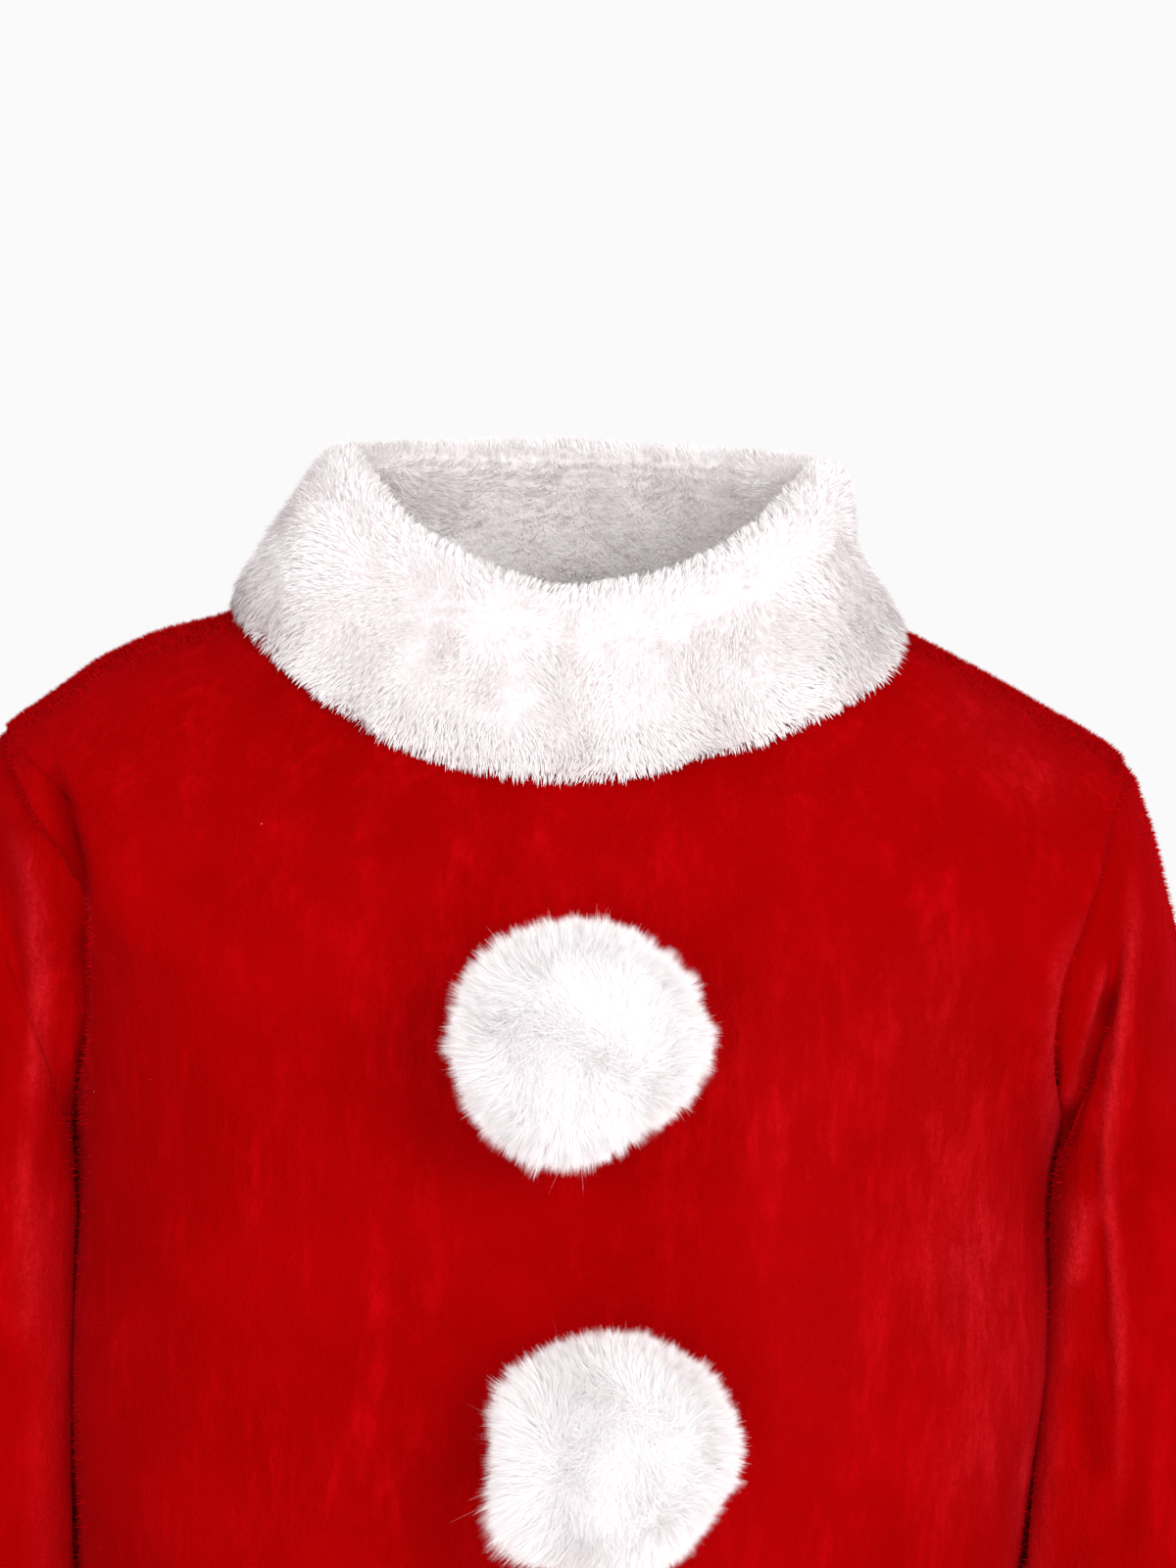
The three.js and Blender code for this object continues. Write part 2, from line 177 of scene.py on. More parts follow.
@dataclass(frozen=True)
class Mark:
    """A soft line on one side of the cloth: a crease where it lifts or sinks, or a streak of painted
    highlight.

    path holds places on the side in millimetres. amount is millimetres of lift for a crease and a share for
    a streak. width is the half width in millimetres, ease the share of the length over which each end fades,
    and steep the share of the width on the right of the path, seen along it.
    """

    side: Side
    path: tuple[tuple[float, float], ...]
    amount: float
    width: float
    ease: float = 0.3
    steep: float = 1.0

    def strength(self, points: np.ndarray, normals: np.ndarray) -> np.ndarray:
        """How much of the mark there is at each point.

        Args:
            points: where, in metres, with 3 as the last size.
            normals: the cloth's normals there.

        Returns:
            The amount, falling off to nothing away from the path and round the side's edges.
        """
        knots = np.array(self.path) * MM
        line = between(knots, np.linspace(0, len(knots) - 1, LEGS * (len(knots) - 1) + 1))
        run = np.concatenate([[0.0], np.cumsum(np.linalg.norm(np.diff(line, axis=0), axis=1))])
        spot = points[..., self.side.axes]
        away = np.full(points.shape[:-1], np.inf)
        share = np.zeros(points.shape[:-1])
        right = np.zeros(points.shape[:-1], bool)
        for i in range(len(line) - 1):
            leg = line[i + 1] - line[i]
            along = np.clip(((spot - line[i]) @ leg) / (leg @ leg), 0, 1)
            off = spot - line[i] - along[..., None] * leg
            reach = np.linalg.norm(off, axis=-1)
            nearer = reach < away
            away = np.where(nearer, reach, away)
            share = np.where(nearer, (run[i] + along * (run[i + 1] - run[i])) / run[-1], share)
            right = np.where(nearer, leg[0] * off[..., 1] < leg[1] * off[..., 0], right)
        ends = smoothstep(share, 0, self.ease) * smoothstep(1 - share, 0, self.ease)
        turned = smoothstep(normals @ self.side.facing, *TURNED_AWAY)
        width = self.width * MM * np.where(right, self.steep, 1.0)
        return self.amount * np.exp(-((away / width) ** 2)) * ends * turned


def total_of(marks: Sequence[Mark], points: np.ndarray, normals: np.ndarray) -> np.ndarray:
    """The sum of several marks at each point."""
    return sum((mark.strength(points, normals) for mark in marks), np.zeros(points.shape[:-1]))


def sharpness_of(marks: Sequence[Mark], points: np.ndarray, normals: np.ndarray) -> np.ndarray:
    """How sharply the creases bend the cloth at each point: above 0 on crests and below it in valleys."""
    total = sum((mark.strength(points, normals) / mark.width for mark in marks), np.zeros(points.shape[:-1]))
    return np.clip(total, -1, 1)


@dataclass(frozen=True)
class Waviness:
    """Slow unevenness of hanging cloth: waves in all directions, the same on every run."""

    height: float = 0.55 * MM
    longest: float = 110 * MM
    shortest: float = 38 * MM
    waves: int = 14
    seed: int = 5
    spread: tuple[float, float, float] = (1.0, 1.0, 0.45)  # how far the waves run along each axis

    def at(self, points: np.ndarray) -> np.ndarray:
        """The lift at each point.

        Args:
            points: where, in metres, with 3 as the last size.

        Returns:
            The lift, in the unit of the height.
        """
        rng = np.random.default_rng(self.seed)
        total = np.zeros(points.shape[:-1])
        for _ in range(self.waves):
            length = rng.uniform(self.shortest, self.longest)
            way = unit(rng.normal(size=3) * np.array(self.spread))
            turn = rng.uniform(0, 2 * math.pi)
            total += np.sin(2 * math.pi * (points @ way) / length + turn) * length / self.longest
        return total * self.height / math.sqrt(self.waves / 2)


# -------------------------------------------------------------------------------- the body's rings


class Ring(NamedTuple):
    """A ring of the tunic: heights at the side, front and back, half widths, half depths and its power."""

    side: float
    front: float
    back: float
    left: float
    right: float
    fore: float
    aft: float
    square: float


def ring_point(rings: Sequence[Ring], angle: np.ndarray, row: np.ndarray) -> np.ndarray:
    """Points of a table of rings.

    Args:
        rings: the table.
        angle: turns round each ring: 0 is the wearer's left, a quarter turn less the front.
        row: fractional rows of the table.

    Returns:
        The points, in metres.
    """
    angle, row = np.broadcast_arrays(np.asarray(angle, float), np.asarray(row, float))
    at = Ring(*np.moveaxis(between(np.array(rings), row), -1, 0))
    across, along = np.cos(angle), np.sin(angle)
    power = 2 / at.square
    x = np.sign(across) * np.abs(across) ** power * np.where(across < 0, at.right, at.left)
    y = np.sign(along) * np.abs(along) ** power * np.where(along < 0, at.fore, at.aft)
    z = at.side + (np.where(along < 0, at.front, at.back) - at.side) * along**2
    return np.stack([x, y, z], axis=-1) * MM


@dataclass(frozen=True)
class Torso:
    """The tunic's body: rings from the neckline to the hem, its flutes, and its armholes."""

    rings: tuple[Ring, ...] = (
        Ring(2, -34, 5, 86, 86, 64, 60, 2.1),  # neckline
        Ring(-8, -50, -11, 107, 107, 72.5, 71, 2.15),
        Ring(-19, -69, -33, 128, 128, 79.5, 80, 2.25),
        Ring(-32, -88, -58, 150, 149, 84.5, 86, 2.35),  # shoulder
        Ring(-48, -104, -80, 158, 152, 87, 89, 2.4),
        Ring(-84, -120, -107, 148, 135, 88.5, 90, 2.4),
        Ring(-137, -147, -143, 136, 129, 89, 90, 2.4),  # armpit
        Ring(-200, -201, -200, 137, 130, 89, 87, 2.35),
        Ring(-290, -290, -290, 129, 125, 87, 84, 2.3),  # waist
        Ring(-400, -400, -400, 134, 132, 93, 92, 2.2),
        Ring(-500, -500, -500, 142, 141, 100, 98, 2.15),  # hem
    )
    shoulder: int = 3
    armpit: int = 6
    waist: int = 8
    flutes: tuple[tuple[int, float, float], ...] = ((7, 3.0, 0.4), (11, 1.6, 1.9))  # waves, depth, turn
    bite: tuple[float, float] = (0.5, 0.52)  # how far the left and right armholes cut in, as an angle
    roundness: float = 0.62
    deeper: tuple[tuple[float, ...], ...] = (  # more of that in front, at even shares of the way down
        (0, 0.053, 0.004, -0.004, 0.032, 0.061, 0),
        (0, 0.10, 0.118, 0.053, -0.034, 0, 0),
    )

    @property
    def hem(self) -> int:
        """The row of the hem."""
        return len(self.rings) - 1

    def point(self, angle: np.ndarray, row: np.ndarray) -> np.ndarray:
        """Points of the body, with the flutes that open towards the hem.

        Args:
            angle: turns round the body, as in ring_point.
            row: fractional rows of the rings.

        Returns:
            The points, in metres.
        """
        points = ring_point(self.rings, angle, row)
        opened = smoothstep(np.asarray(row, float), self.waist, self.hem)
        rise = sum(depth * np.cos(waves * angle + turn) for waves, depth, turn in self.flutes)
        reach = np.hypot(points[..., 0], points[..., 1])
        points[..., :2] *= (1 + opened * rise * MM / reach)[..., None]
        return points

    def normal(self, angle: np.ndarray, row: np.ndarray) -> np.ndarray:
        """Unit normals of the body.

        Args:
            angle: turns round the body, as in ring_point.
            row: fractional rows of the rings.

        Returns:
            The normals, on the outer side.
        """
        down = self.point(angle, row + SLOPE_STEP) - self.point(angle, row - SLOPE_STEP)
        across = self.point(angle + SLOPE_STEP, row) - self.point(angle - SLOPE_STEP, row)
        return unit(np.cross(down, across))

    def armhole_row(self, share: np.ndarray) -> np.ndarray:
        """Row of the body at shares of the way down an armhole."""
        return self.shoulder + (self.armpit - self.shoulder) * (1 - np.cos(np.pi * share)) / 2

    def edge_angle(self, side: int, face: int, row: np.ndarray) -> np.ndarray:
        """Angle of a panel's edge.

        Args:
            side: 1 at the wearer's left, -1 at the right.
            face: 1 on the back, -1 on the front.
            row: fractional rows of the rings.

        Returns:
            The angles there.
        """
        which = 0 if side > 0 else 1
        down = np.clip((row - self.shoulder) / (self.armpit - self.shoulder), 0, 1)
        bite = self.bite[which] * np.abs(np.sin(np.pi * down)) ** self.roundness
        if face < 0:
            more = self.deeper[which]
            bite = bite + between(np.array(more), down * (len(more) - 1))
        return face * (bite if side > 0 else np.pi - bite)

    def side_at(self, side: int, height: np.ndarray, depth: np.ndarray) -> np.ndarray:
        """Distance of the body's side from the middle.

        Args:
            side: 1 at the wearer's left, -1 at the right.
            height: the heights, in millimetres.
            depth: how far forward or back, in millimetres.

        Returns:
            The distances, in millimetres.
        """
        rows = np.linspace(0, self.hem, FINE_ROWS)
        table = np.array(self.rings)
        row = np.interp(-np.asarray(height, float), -between(table[:, 0], rows), rows)
        at = Ring(*np.moveaxis(between(table, row), -1, 0))
        share = np.clip(np.abs(depth) / np.where(np.asarray(depth) < 0, at.fore, at.aft), 0, 1)
        return (at.left if side > 0 else at.right) * (1 - share**at.square) ** (1 / at.square)


# -------------------------------------------------------------------------------- finishes


class Shade(NamedTuple):
    """A colour in linear light."""

    red: float
    green: float
    blue: float

    def rgba(self) -> tuple[float, float, float, float]:
        """The colour with full cover."""
        return (self.red, self.green, self.blue, 1.0)


class Grain(NamedTuple):
    """The grain of a noise: lumps to the metre, how many finer layers it has and how strong they are."""

    scale: float
    detail: float
    rough: float


class Nodes:
    """A new material's nodes, with short ways to add and join them."""

    def __init__(self, name: str) -> None:
        """Starts a material that holds one Principled shader.

        Args:
            name: the material's name.
        """
        self.material = bpy.data.materials.new(name)
        self.material.use_nodes = True
        self.tree = self.material.node_tree
        self.shader = self.tree.nodes["Principled BSDF"]

    def add(self, kind: str, **settings: object) -> bpy.types.Node:
        """Adds a node.

        Args:
            kind: its type.
            **settings: its own properties.

        Returns:
            The node.
        """
        node = self.tree.nodes.new(kind)
        for name, value in settings.items():
            setattr(node, name, value)
        return node

    def join(self, out: bpy.types.NodeSocket, into: bpy.types.NodeSocket) -> None:
        """Links one socket to another."""
        self.tree.links.new(out, into)

    def place(self, stretch: tuple[float, float, float]) -> bpy.types.NodeSocket:
        """Object coordinates, scaled along each axis.

        Args:
            stretch: the three scales.

        Returns:
            The coordinates.
        """
        where = self.add("ShaderNodeTexCoord")
        mapping = self.add("ShaderNodeMapping")
        mapping.inputs["Scale"].default_value = stretch
        self.join(where.outputs["Object"], mapping.inputs["Vector"])
        return mapping.outputs["Vector"]

    def noise(self, where: bpy.types.NodeSocket, grain: Grain) -> bpy.types.NodeSocket:
        """A noise value.

        Args:
            where: the coordinates.
            grain: its grain.

        Returns:
            The value.
        """
        node = self.add("ShaderNodeTexNoise")
        node.inputs["Scale"].default_value = grain.scale
        node.inputs["Detail"].default_value = grain.detail
        node.inputs["Roughness"].default_value = grain.rough
        self.join(where, node.inputs["Vector"])
        return node.outputs["Fac"]

    def ramp(self, value: bpy.types.NodeSocket, low: float, high: float, top: float = 1.0
             ) -> bpy.types.NodeSocket:
        """A value stretched to run from 0 to a top, and held between them.

        Args:
            value: the value.
            low: what becomes 0.
            high: what becomes the top.
            top: the greatest result.

        Returns:
            The stretched value.
        """
        node = self.add("ShaderNodeMapRange")
        node.inputs["From Min"].default_value = low
        node.inputs["From Max"].default_value = high
        node.inputs["To Max"].default_value = top
        self.join(value, node.inputs["Value"])
        return node.outputs["Result"]

    def times(self, one: bpy.types.NodeSocket, other: bpy.types.NodeSocket) -> bpy.types.NodeSocket:
        """The product of two values.

        Args:
            one: a value.
            other: another.

        Returns:
            The product, held between 0 and 1.
        """
        node = self.add("ShaderNodeMath", operation="MULTIPLY", use_clamp=True)
        self.join(one, node.inputs[0])
        self.join(other, node.inputs[1])
        return node.outputs[0]

    def blend(self, share: bpy.types.NodeSocket, below: object, above: object) -> bpy.types.NodeSocket:
        """A mixture of two colours, each a Shade or a socket.

        Args:
            share: 0 for the first colour, 1 for the second.
            below: the first colour.
            above: the second colour.

        Returns:
            The mixture.
        """
        node = self.add("ShaderNodeMix", data_type="RGBA")
        self.join(share, node.inputs["Factor"])
        for value, socket in ((below, node.inputs[6]), (above, node.inputs[7])):
            if isinstance(value, Shade):
                socket.default_value = value.rgba()
            else:
                self.join(value, socket)
        return node.outputs[2]

    def bump(self, value: bpy.types.NodeSocket, height: float, under: Optional[bpy.types.NodeSocket] = None
             ) -> bpy.types.NodeSocket:
        """A normal bumped by a value.

        Args:
            value: the value.
            height: how high the bumps stand, in metres.
            under: another bump that this one lies over, where there is one.

        Returns:
            The normal.
        """
        node = self.add("ShaderNodeBump")
        node.inputs["Strength"].default_value = 1.0
        node.inputs["Distance"].default_value = height
        self.join(value, node.inputs["Height"])
        if under is not None:
            self.join(under, node.inputs["Normal"])
        return node.outputs["Normal"]


@dataclass(frozen=True)
class VelvetFinish:
    """The velvet's face: deep red, mottled where its nap lies differently, with painted highlight on crests,
    streaks and outlines and painted shade in crease troughs.
    """

    deep: Shade = Shade(0.25, 0.0003, 0.0006)
    usual: Shade = Shade(0.291, 0.0004, 0.0010)
    light: Shade = Shade(0.40, 0.0012, 0.0028)
    # painted highlight: a paler, pinker red laid on crease crests and along the highlight streaks
    painted_highlight: Shade = Shade(0.54, 0.013, 0.020)
    # painted shade: a darker red laid in sharp crease troughs
    valley_shade: Shade = Shade(0.15, 0.0001, 0.0003)
    # painted sheen: a paler red that the surface turns towards at glancing angles
    grazing_sheen: Shade = Shade(0.44, 0.004, 0.009)
    lint: Shade = Shade(0.85, 0.25, 0.25)
    sheen: float = 0.13
    sheen_roughness: float = 0.3
    sheen_tint: Shade = Shade(1.0, 0.03, 0.06)
    roughness: float = 0.9
    drawn_out: tuple[float, float, float] = (1, 1, 0.28)  # the nap's grain is longer down the cloth
    patch: Grain = Grain(26, 4, 0.6)
    smear: Grain = Grain(75, 7, 0.7)
    streak: Grain = Grain(300, 5, 0.7)
    speck: Grain = Grain(1200, 2, 0.6)
    broken: Grain = Grain(900, 3, 0.7)
    facing_blend: float = 0.25
    lint_cells: float = 50  # to the metre, with at most one speck of lint in each
    pile_height: float = 0.00018
    streak_height: float = 0.0002

    def build(self) -> bpy.types.Material:
        """Makes mottling, smears, painted shade in crease troughs, painted highlights on crests and streaks,
        painted sheen on outlines, lint, and the pile's bump.

        Returns:
            The material.
        """
        nodes = Nodes("velvet_red")
        where = nodes.place((1, 1, 1))
        along = nodes.place(self.drawn_out)
        patches = nodes.ramp(nodes.noise(where, self.patch), 0.36, 0.66)
        smears = nodes.ramp(nodes.noise(along, self.smear), 0.48, 0.72)
        streaks = nodes.ramp(nodes.noise(along, self.streak), 0.40, 0.70)
        specks = nodes.ramp(nodes.noise(where, self.speck), 0.35, 0.7)
        colour = nodes.blend(patches, self.deep, self.usual)
        colour = nodes.blend(nodes.times(smears, nodes.ramp(streaks, -0.5, 1, 0.85)), colour, self.light)
        pierced = nodes.ramp(streaks, -0.9, 1)
        broken = nodes.times(pierced, nodes.ramp(nodes.noise(where, self.broken), 0.2, 0.62))
        fold = nodes.add("ShaderNodeAttribute", attribute_name="fold").outputs["Fac"]
        # painted shade in sharp crease troughs, where fold is below 0
        colour = nodes.blend(nodes.ramp(fold, 0, -0.9, 0.85), colour, self.valley_shade)
        # painted highlight on sharp crease crests, broken up by the nap's streaks
        colour = nodes.blend(nodes.times(nodes.ramp(fold, 0.15, 0.9, 0.5), broken), colour, self.painted_highlight)
        # painted highlight along the streaks, read from the cloth's attribute
        painted_highlight = nodes.add("ShaderNodeAttribute", attribute_name="painted_highlight").outputs["Fac"]
        highlight_mask = nodes.times(painted_highlight, nodes.ramp(smears, -0.8, 1))
        colour = nodes.blend(nodes.times(highlight_mask, broken), colour, self.painted_highlight)
        # painted sheen: the red turns paler and pinker at glancing angles, towards the outlines
        edge = nodes.add("ShaderNodeLayerWeight")
        edge.inputs["Blend"].default_value = self.facing_blend
        colour = nodes.blend(nodes.ramp(edge.outputs["Facing"], 0.35, 1.0, 0.5), colour, self.grazing_sheen)
        dots = nodes.add("ShaderNodeTexVoronoi", feature="F1")
        dots.inputs["Scale"].default_value = self.lint_cells
        nodes.join(where, dots.inputs["Vector"])
        lint = nodes.ramp(dots.outputs["Distance"], 0.018, 0.010, 0.5)
        colour = nodes.blend(lint, colour, self.lint)
        nodes.join(colour, nodes.shader.inputs["Base Color"])
        pile = nodes.bump(specks, self.pile_height)
        nodes.join(nodes.bump(streaks, self.streak_height, pile), nodes.shader.inputs["Normal"])
        nodes.shader.inputs["Roughness"].default_value = self.roughness
        nodes.shader.inputs["Specular IOR Level"].default_value = 0.0
        nodes.shader.inputs["Sheen Weight"].default_value = self.sheen
        nodes.shader.inputs["Sheen Roughness"].default_value = self.sheen_roughness
        nodes.shader.inputs["Sheen Tint"].default_value = self.sheen_tint.rgba()
        return nodes.material


@dataclass(frozen=True)
class BackingFinish:
    """The velvet's wrong side: a fine matt knit, in the same red."""

    thread: Shade = Shade(0.36, 0.006, 0.01)
    gap: Shade = Shade(0.16, 0.001, 0.002)
    scale: float = 1150 / 6  # of the wave whose bands are the rows of loops
    wander: float = 1.5
    wander_scale: float = 3.0
    depth: float = 0.0002
    roughness: float = 0.95
    specular: float = 0.15

    def build(self) -> bpy.types.Material:
        """Makes rows of fine knitted loops.

        Returns:
            The material.
        """
        nodes = Nodes("velvet_backing")
        where = nodes.place((1, 1, 1))
        knit = nodes.add("ShaderNodeTexWave", wave_type="BANDS", bands_direction="Z")
        knit.inputs["Scale"].default_value = self.scale
        knit.inputs["Distortion"].default_value = self.wander
        knit.inputs["Detail Scale"].default_value = self.wander_scale
        nodes.join(where, knit.inputs["Vector"])
        colour = nodes.blend(nodes.ramp(knit.outputs["Fac"], 0.1, 0.8), self.gap, self.thread)
        nodes.join(colour, nodes.shader.inputs["Base Color"])
        nodes.join(nodes.bump(knit.outputs["Fac"], self.depth), nodes.shader.inputs["Normal"])
        nodes.shader.inputs["Roughness"].default_value = self.roughness
        nodes.shader.inputs["Specular IOR Level"].default_value = self.specular
        return nodes.material


@dataclass(frozen=True)
class FibreFinish:
    """One even shade of pile or fur fibre."""

    name: str
    colour: Shade
    roughness: float = 0.85
    sheen: float = 0.15
    sheen_roughness: float = 0.5
    specular: float = 0.0

    def build(self) -> bpy.types.Material:
        """Makes a plain shade, because the fibres' own shapes give the texture.

        Returns:
            The material.
        """
        nodes = Nodes(self.name)
        nodes.shader.inputs["Base Color"].default_value = self.colour.rgba()
        nodes.shader.inputs["Roughness"].default_value = self.roughness
        nodes.shader.inputs["Specular IOR Level"].default_value = self.specular
        nodes.shader.inputs["Sheen Weight"].default_value = self.sheen
        nodes.shader.inputs["Sheen Roughness"].default_value = self.sheen_roughness
        return nodes.material


@dataclass(frozen=True)
class GroundFinish:
    """The cloth that fur stands on: nearly white, and a little uneven."""

    name: str
    low: Shade
    high: Shade
    grain: Grain = Grain(900, 4, 0.6)
    depth: float = 0.0008
    roughness: float = 0.95
    specular: float = 0.1

    def build(self) -> bpy.types.Material:
        """Makes soft lumps of two near shades.

        Returns:
            The material.
        """
        nodes = Nodes(self.name)
        lumps = nodes.noise(nodes.place((1, 1, 1)), self.grain)
        colour = nodes.blend(nodes.ramp(lumps, 0.3, 0.7), self.low, self.high)
        nodes.join(colour, nodes.shader.inputs["Base Color"])
        nodes.join(nodes.bump(lumps, self.depth), nodes.shader.inputs["Normal"])
        nodes.shader.inputs["Roughness"].default_value = self.roughness
        nodes.shader.inputs["Specular IOR Level"].default_value = self.specular
        return nodes.material


def built(*finishes: FibreFinish) -> tuple[bpy.types.Material, ...]:
    """The materials of several finishes."""
    return tuple(finish.build() for finish in finishes)


@dataclass
class Finishes:
    """All the finishes, each made once."""

    velvet: bpy.types.Material = field(default_factory=VelvetFinish().build)
    backing: bpy.types.Material = field(default_factory=BackingFinish().build)
    # the pile's red is lighter than the cloth's: painted sheen for its fuzz along the outlines
    nap: bpy.types.Material = field(
        default_factory=FibreFinish("velvet_pile", Shade(0.44, 0.0012, 0.003), 0.9, 0.0).build
    )
    plush_ground: bpy.types.Material = field(
        default_factory=GroundFinish("plush_ground", Shade(0.80, 0.75, 0.755), Shade(0.88, 0.83, 0.84)).build
    )
    fur_ground: bpy.types.Material = field(
        default_factory=GroundFinish("fur_ground", Shade(0.90, 0.88, 0.885), Shade(0.97, 0.95, 0.955)).build
    )
    plush: tuple[bpy.types.Material, ...] = field(default_factory=lambda: built(
        FibreFinish("plush_white", Shade(0.83, 0.80, 0.80)),
        FibreFinish("plush_cool", Shade(0.815, 0.80, 0.805)),
        FibreFinish("plush_warm", Shade(0.84, 0.785, 0.78)),
    ))
    fur: tuple[bpy.types.Material, ...] = field(default_factory=lambda: built(
        FibreFinish("fur_white", Shade(0.935, 0.92, 0.92)),
        FibreFinish("fur_cool", Shade(0.915, 0.91, 0.915)),
        FibreFinish("fur_warm", Shade(0.935, 0.90, 0.90)),
    ))


# -------------------------------------------------------------------------------- mesh makers


def mesh_object(name: str, points: np.ndarray, faces: np.ndarray, materials: Sequence[bpy.types.Material],
                which: Optional[np.ndarray] = None) -> bpy.types.Object:
    """A smooth mesh object that rides on the part.

    Args:
        name: the piece's name.
        points: its points, in metres.
        faces: its faces, all with the same number of corners.
        materials: its materials.
        which: the number of each face's material, where there are several.

    Returns:
        The object.
    """
    mesh = bpy.data.meshes.new(name)
    corners = faces.shape[1]
    mesh.vertices.add(len(points))
    mesh.vertices.foreach_set("co", points.astype(np.float32).ravel())
    mesh.loops.add(faces.size)
    mesh.loops.foreach_set("vertex_index", faces.astype(np.int32).ravel())
    mesh.polygons.add(len(faces))
    mesh.polygons.foreach_set("loop_start", np.arange(0, faces.size, corners, dtype=np.int32))
    mesh.polygons.foreach_set("loop_total", np.full(len(faces), corners, dtype=np.int32))
    for material in materials:
        mesh.materials.append(material)
    if which is not None:
        mesh.polygons.foreach_set("material_index", which.astype(np.int32))
    mesh.polygons.foreach_set("use_smooth", np.ones(len(faces), dtype=bool))
    mesh.update(calc_edges=True)
    mesh.validate()
    made = bpy.data.objects.new(name, mesh)
    bpy.context.scene.collection.objects.link(made)
    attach(made, "root")
    return made


@dataclass
class Shell:
    """A thin closed wall of cloth on a grid of outer points: its faces, its edges and its normals.

    outer is rows by columns by 3 in metres, thick the wall at each point, and closed says whether the
    columns run round. painted_highlight is the share of painted highlight at each point, and fold is 1 on a
    sharp crest and -1 in a sharp trough; the velvet paints highlight on crests and shade in troughs from it.
    The inner face takes every other row and column, so the outer one has an even number of steps each way.
    """

    outer: np.ndarray
    thick: np.ndarray
    closed: bool
    painted_highlight: np.ndarray
    fold: np.ndarray

    def __post_init__(self) -> None:
        """Works out the normals and the inner points."""
        self.normals = grid_normals(self.outer, self.closed)
        self.inner = (self.outer - self.normals * self.thick[..., None])[::2, ::2]

    def numbers(self, rows: int, columns: int, start: int) -> np.ndarray:
        """The numbers of a grid's points, with the first column again at the end where they run round."""
        at = np.arange(rows * columns).reshape(rows, columns) + start
        return np.concatenate([at, at[:, :1]], axis=1) if self.closed else at

    @staticmethod
    def quads(at: np.ndarray) -> np.ndarray:
        """The faces of a grid, each as two triangles.

        Args:
            at: the numbers of its points.

        Returns:
            The triangles.
        """
        a, b, c, d = at[:-1, :-1], at[1:, :-1], at[1:, 1:], at[:-1, 1:]
        halves = np.stack([a, b, c], -1), np.stack([a, c, d], -1)
        return np.concatenate([half.reshape(-1, 3) for half in halves])

    @staticmethod
    def rim(outer: np.ndarray, inner: np.ndarray) -> np.ndarray:
        """The faces between an edge of the outer grid and one of the inner grid.

        Args:
            outer: the numbers of the outer edge's points.
            inner: those of the inner edge's, which has half the steps.

        Returns:
            The faces.
        """
        a, b, c = outer[:-1:2], outer[1::2], outer[2::2]
        d, e = inner[:-1], inner[1:]
        return np.concatenate([np.stack([b, a, d], -1), np.stack([b, d, e], -1), np.stack([c, b, e], -1)])

    def build(self, name: str, face: bpy.types.Material, lining: bpy.types.Material) -> bpy.types.Object:
        """Makes the wall as an object.

        Args:
            name: the piece's name.
            face: the material outside.
            lining: the material inside.

        Returns:
            The object.
        """
        out = self.numbers(*self.outer.shape[:2], 0)
        under = self.numbers(*self.inner.shape[:2], self.outer[..., 0].size)
        skin, lined = self.quads(out), self.quads(under)[:, ::-1]
        rims = [self.rim(out[0], under[0])[:, ::-1], self.rim(out[-1], under[-1])]
        if not self.closed:
            rims += [self.rim(out[:, 0], under[:, 0]), self.rim(out[:, -1], under[:, -1])[:, ::-1]]
        faces = np.concatenate([skin, *rims, lined])
        which = np.zeros(len(faces), int)
        which[-len(lined):] = 1
        points = np.concatenate([self.outer.reshape(-1, 3), self.inner.reshape(-1, 3)])
        made = mesh_object(name, points, faces, (face, lining), which)
        # attributes that the velvet paints highlight from, and shade in crease troughs
        for label, values in (("painted_highlight", self.painted_highlight), ("fold", self.fold)):
            both = np.concatenate([values.ravel(), values[::2, ::2].ravel()]).astype(np.float32)
            made.data.attributes.new(label, "FLOAT", "POINT").data.foreach_set("value", both)
        return made


@dataclass
class Roots:
    """Places where fibres stand: points, normals and the way down, all n by 3."""

    points: np.ndarray
    normals: np.ndarray
    down: np.ndarray


def scatter(points: np.ndarray, normals: np.ndarray, closed: bool, density: np.ndarray, count: int,
            rng: np.random.Generator) -> Roots:
    """Random places on a grid, more of them where its faces and the density are large.

    Args:
        points: the grid, rows by columns by 3.
        normals: its normals.
        closed: whether the columns run round.
        density: how thickly they stand, for each point of the grid.
        count: how many places.
        rng: the random numbers.

    Returns:
        The places.
    """
    def corner(values: np.ndarray, down: int, right: int) -> np.ndarray:
        """One corner of each face.

        Args:
            values: a value for each point of the grid.
            down: 0 for an upper corner, 1 for a lower.
            right: 0 for a left corner, 1 for a right.

        Returns:
            The values there, one for each face.
        """
        if closed:
            moved = np.roll(values, -right, axis=1)
        else:
            moved = values[:, right:values.shape[1] - 1 + right]
        return moved[down:len(values) - 1 + down].reshape((-1,) + values.shape[2:])

    a, b, c, d = (corner(points, *k) for k in ((0, 0), (1, 0), (1, 1), (0, 1)))
    area = np.linalg.norm(np.cross(c - a, d - b), axis=1) * corner(density, 0, 0)
    face = rng.choice(len(area), size=count, p=area / area.sum())
    u, v = rng.random((count, 1)), rng.random((count, 1))

    def inside(values: np.ndarray) -> np.ndarray:
        """The values at the chosen places, from the four corners of their faces.

        Args:
            values: a value for each point of the grid.

        Returns:
            The values there.
        """
        top = corner(values, 0, 0)[face] * (1 - v) + corner(values, 0, 1)[face] * v
        foot = corner(values, 1, 0)[face] * (1 - v) + corner(values, 1, 1)[face] * v
        return top * (1 - u) + foot * u

    return Roots(inside(points), unit(inside(normals)), unit((b - a)[face]))


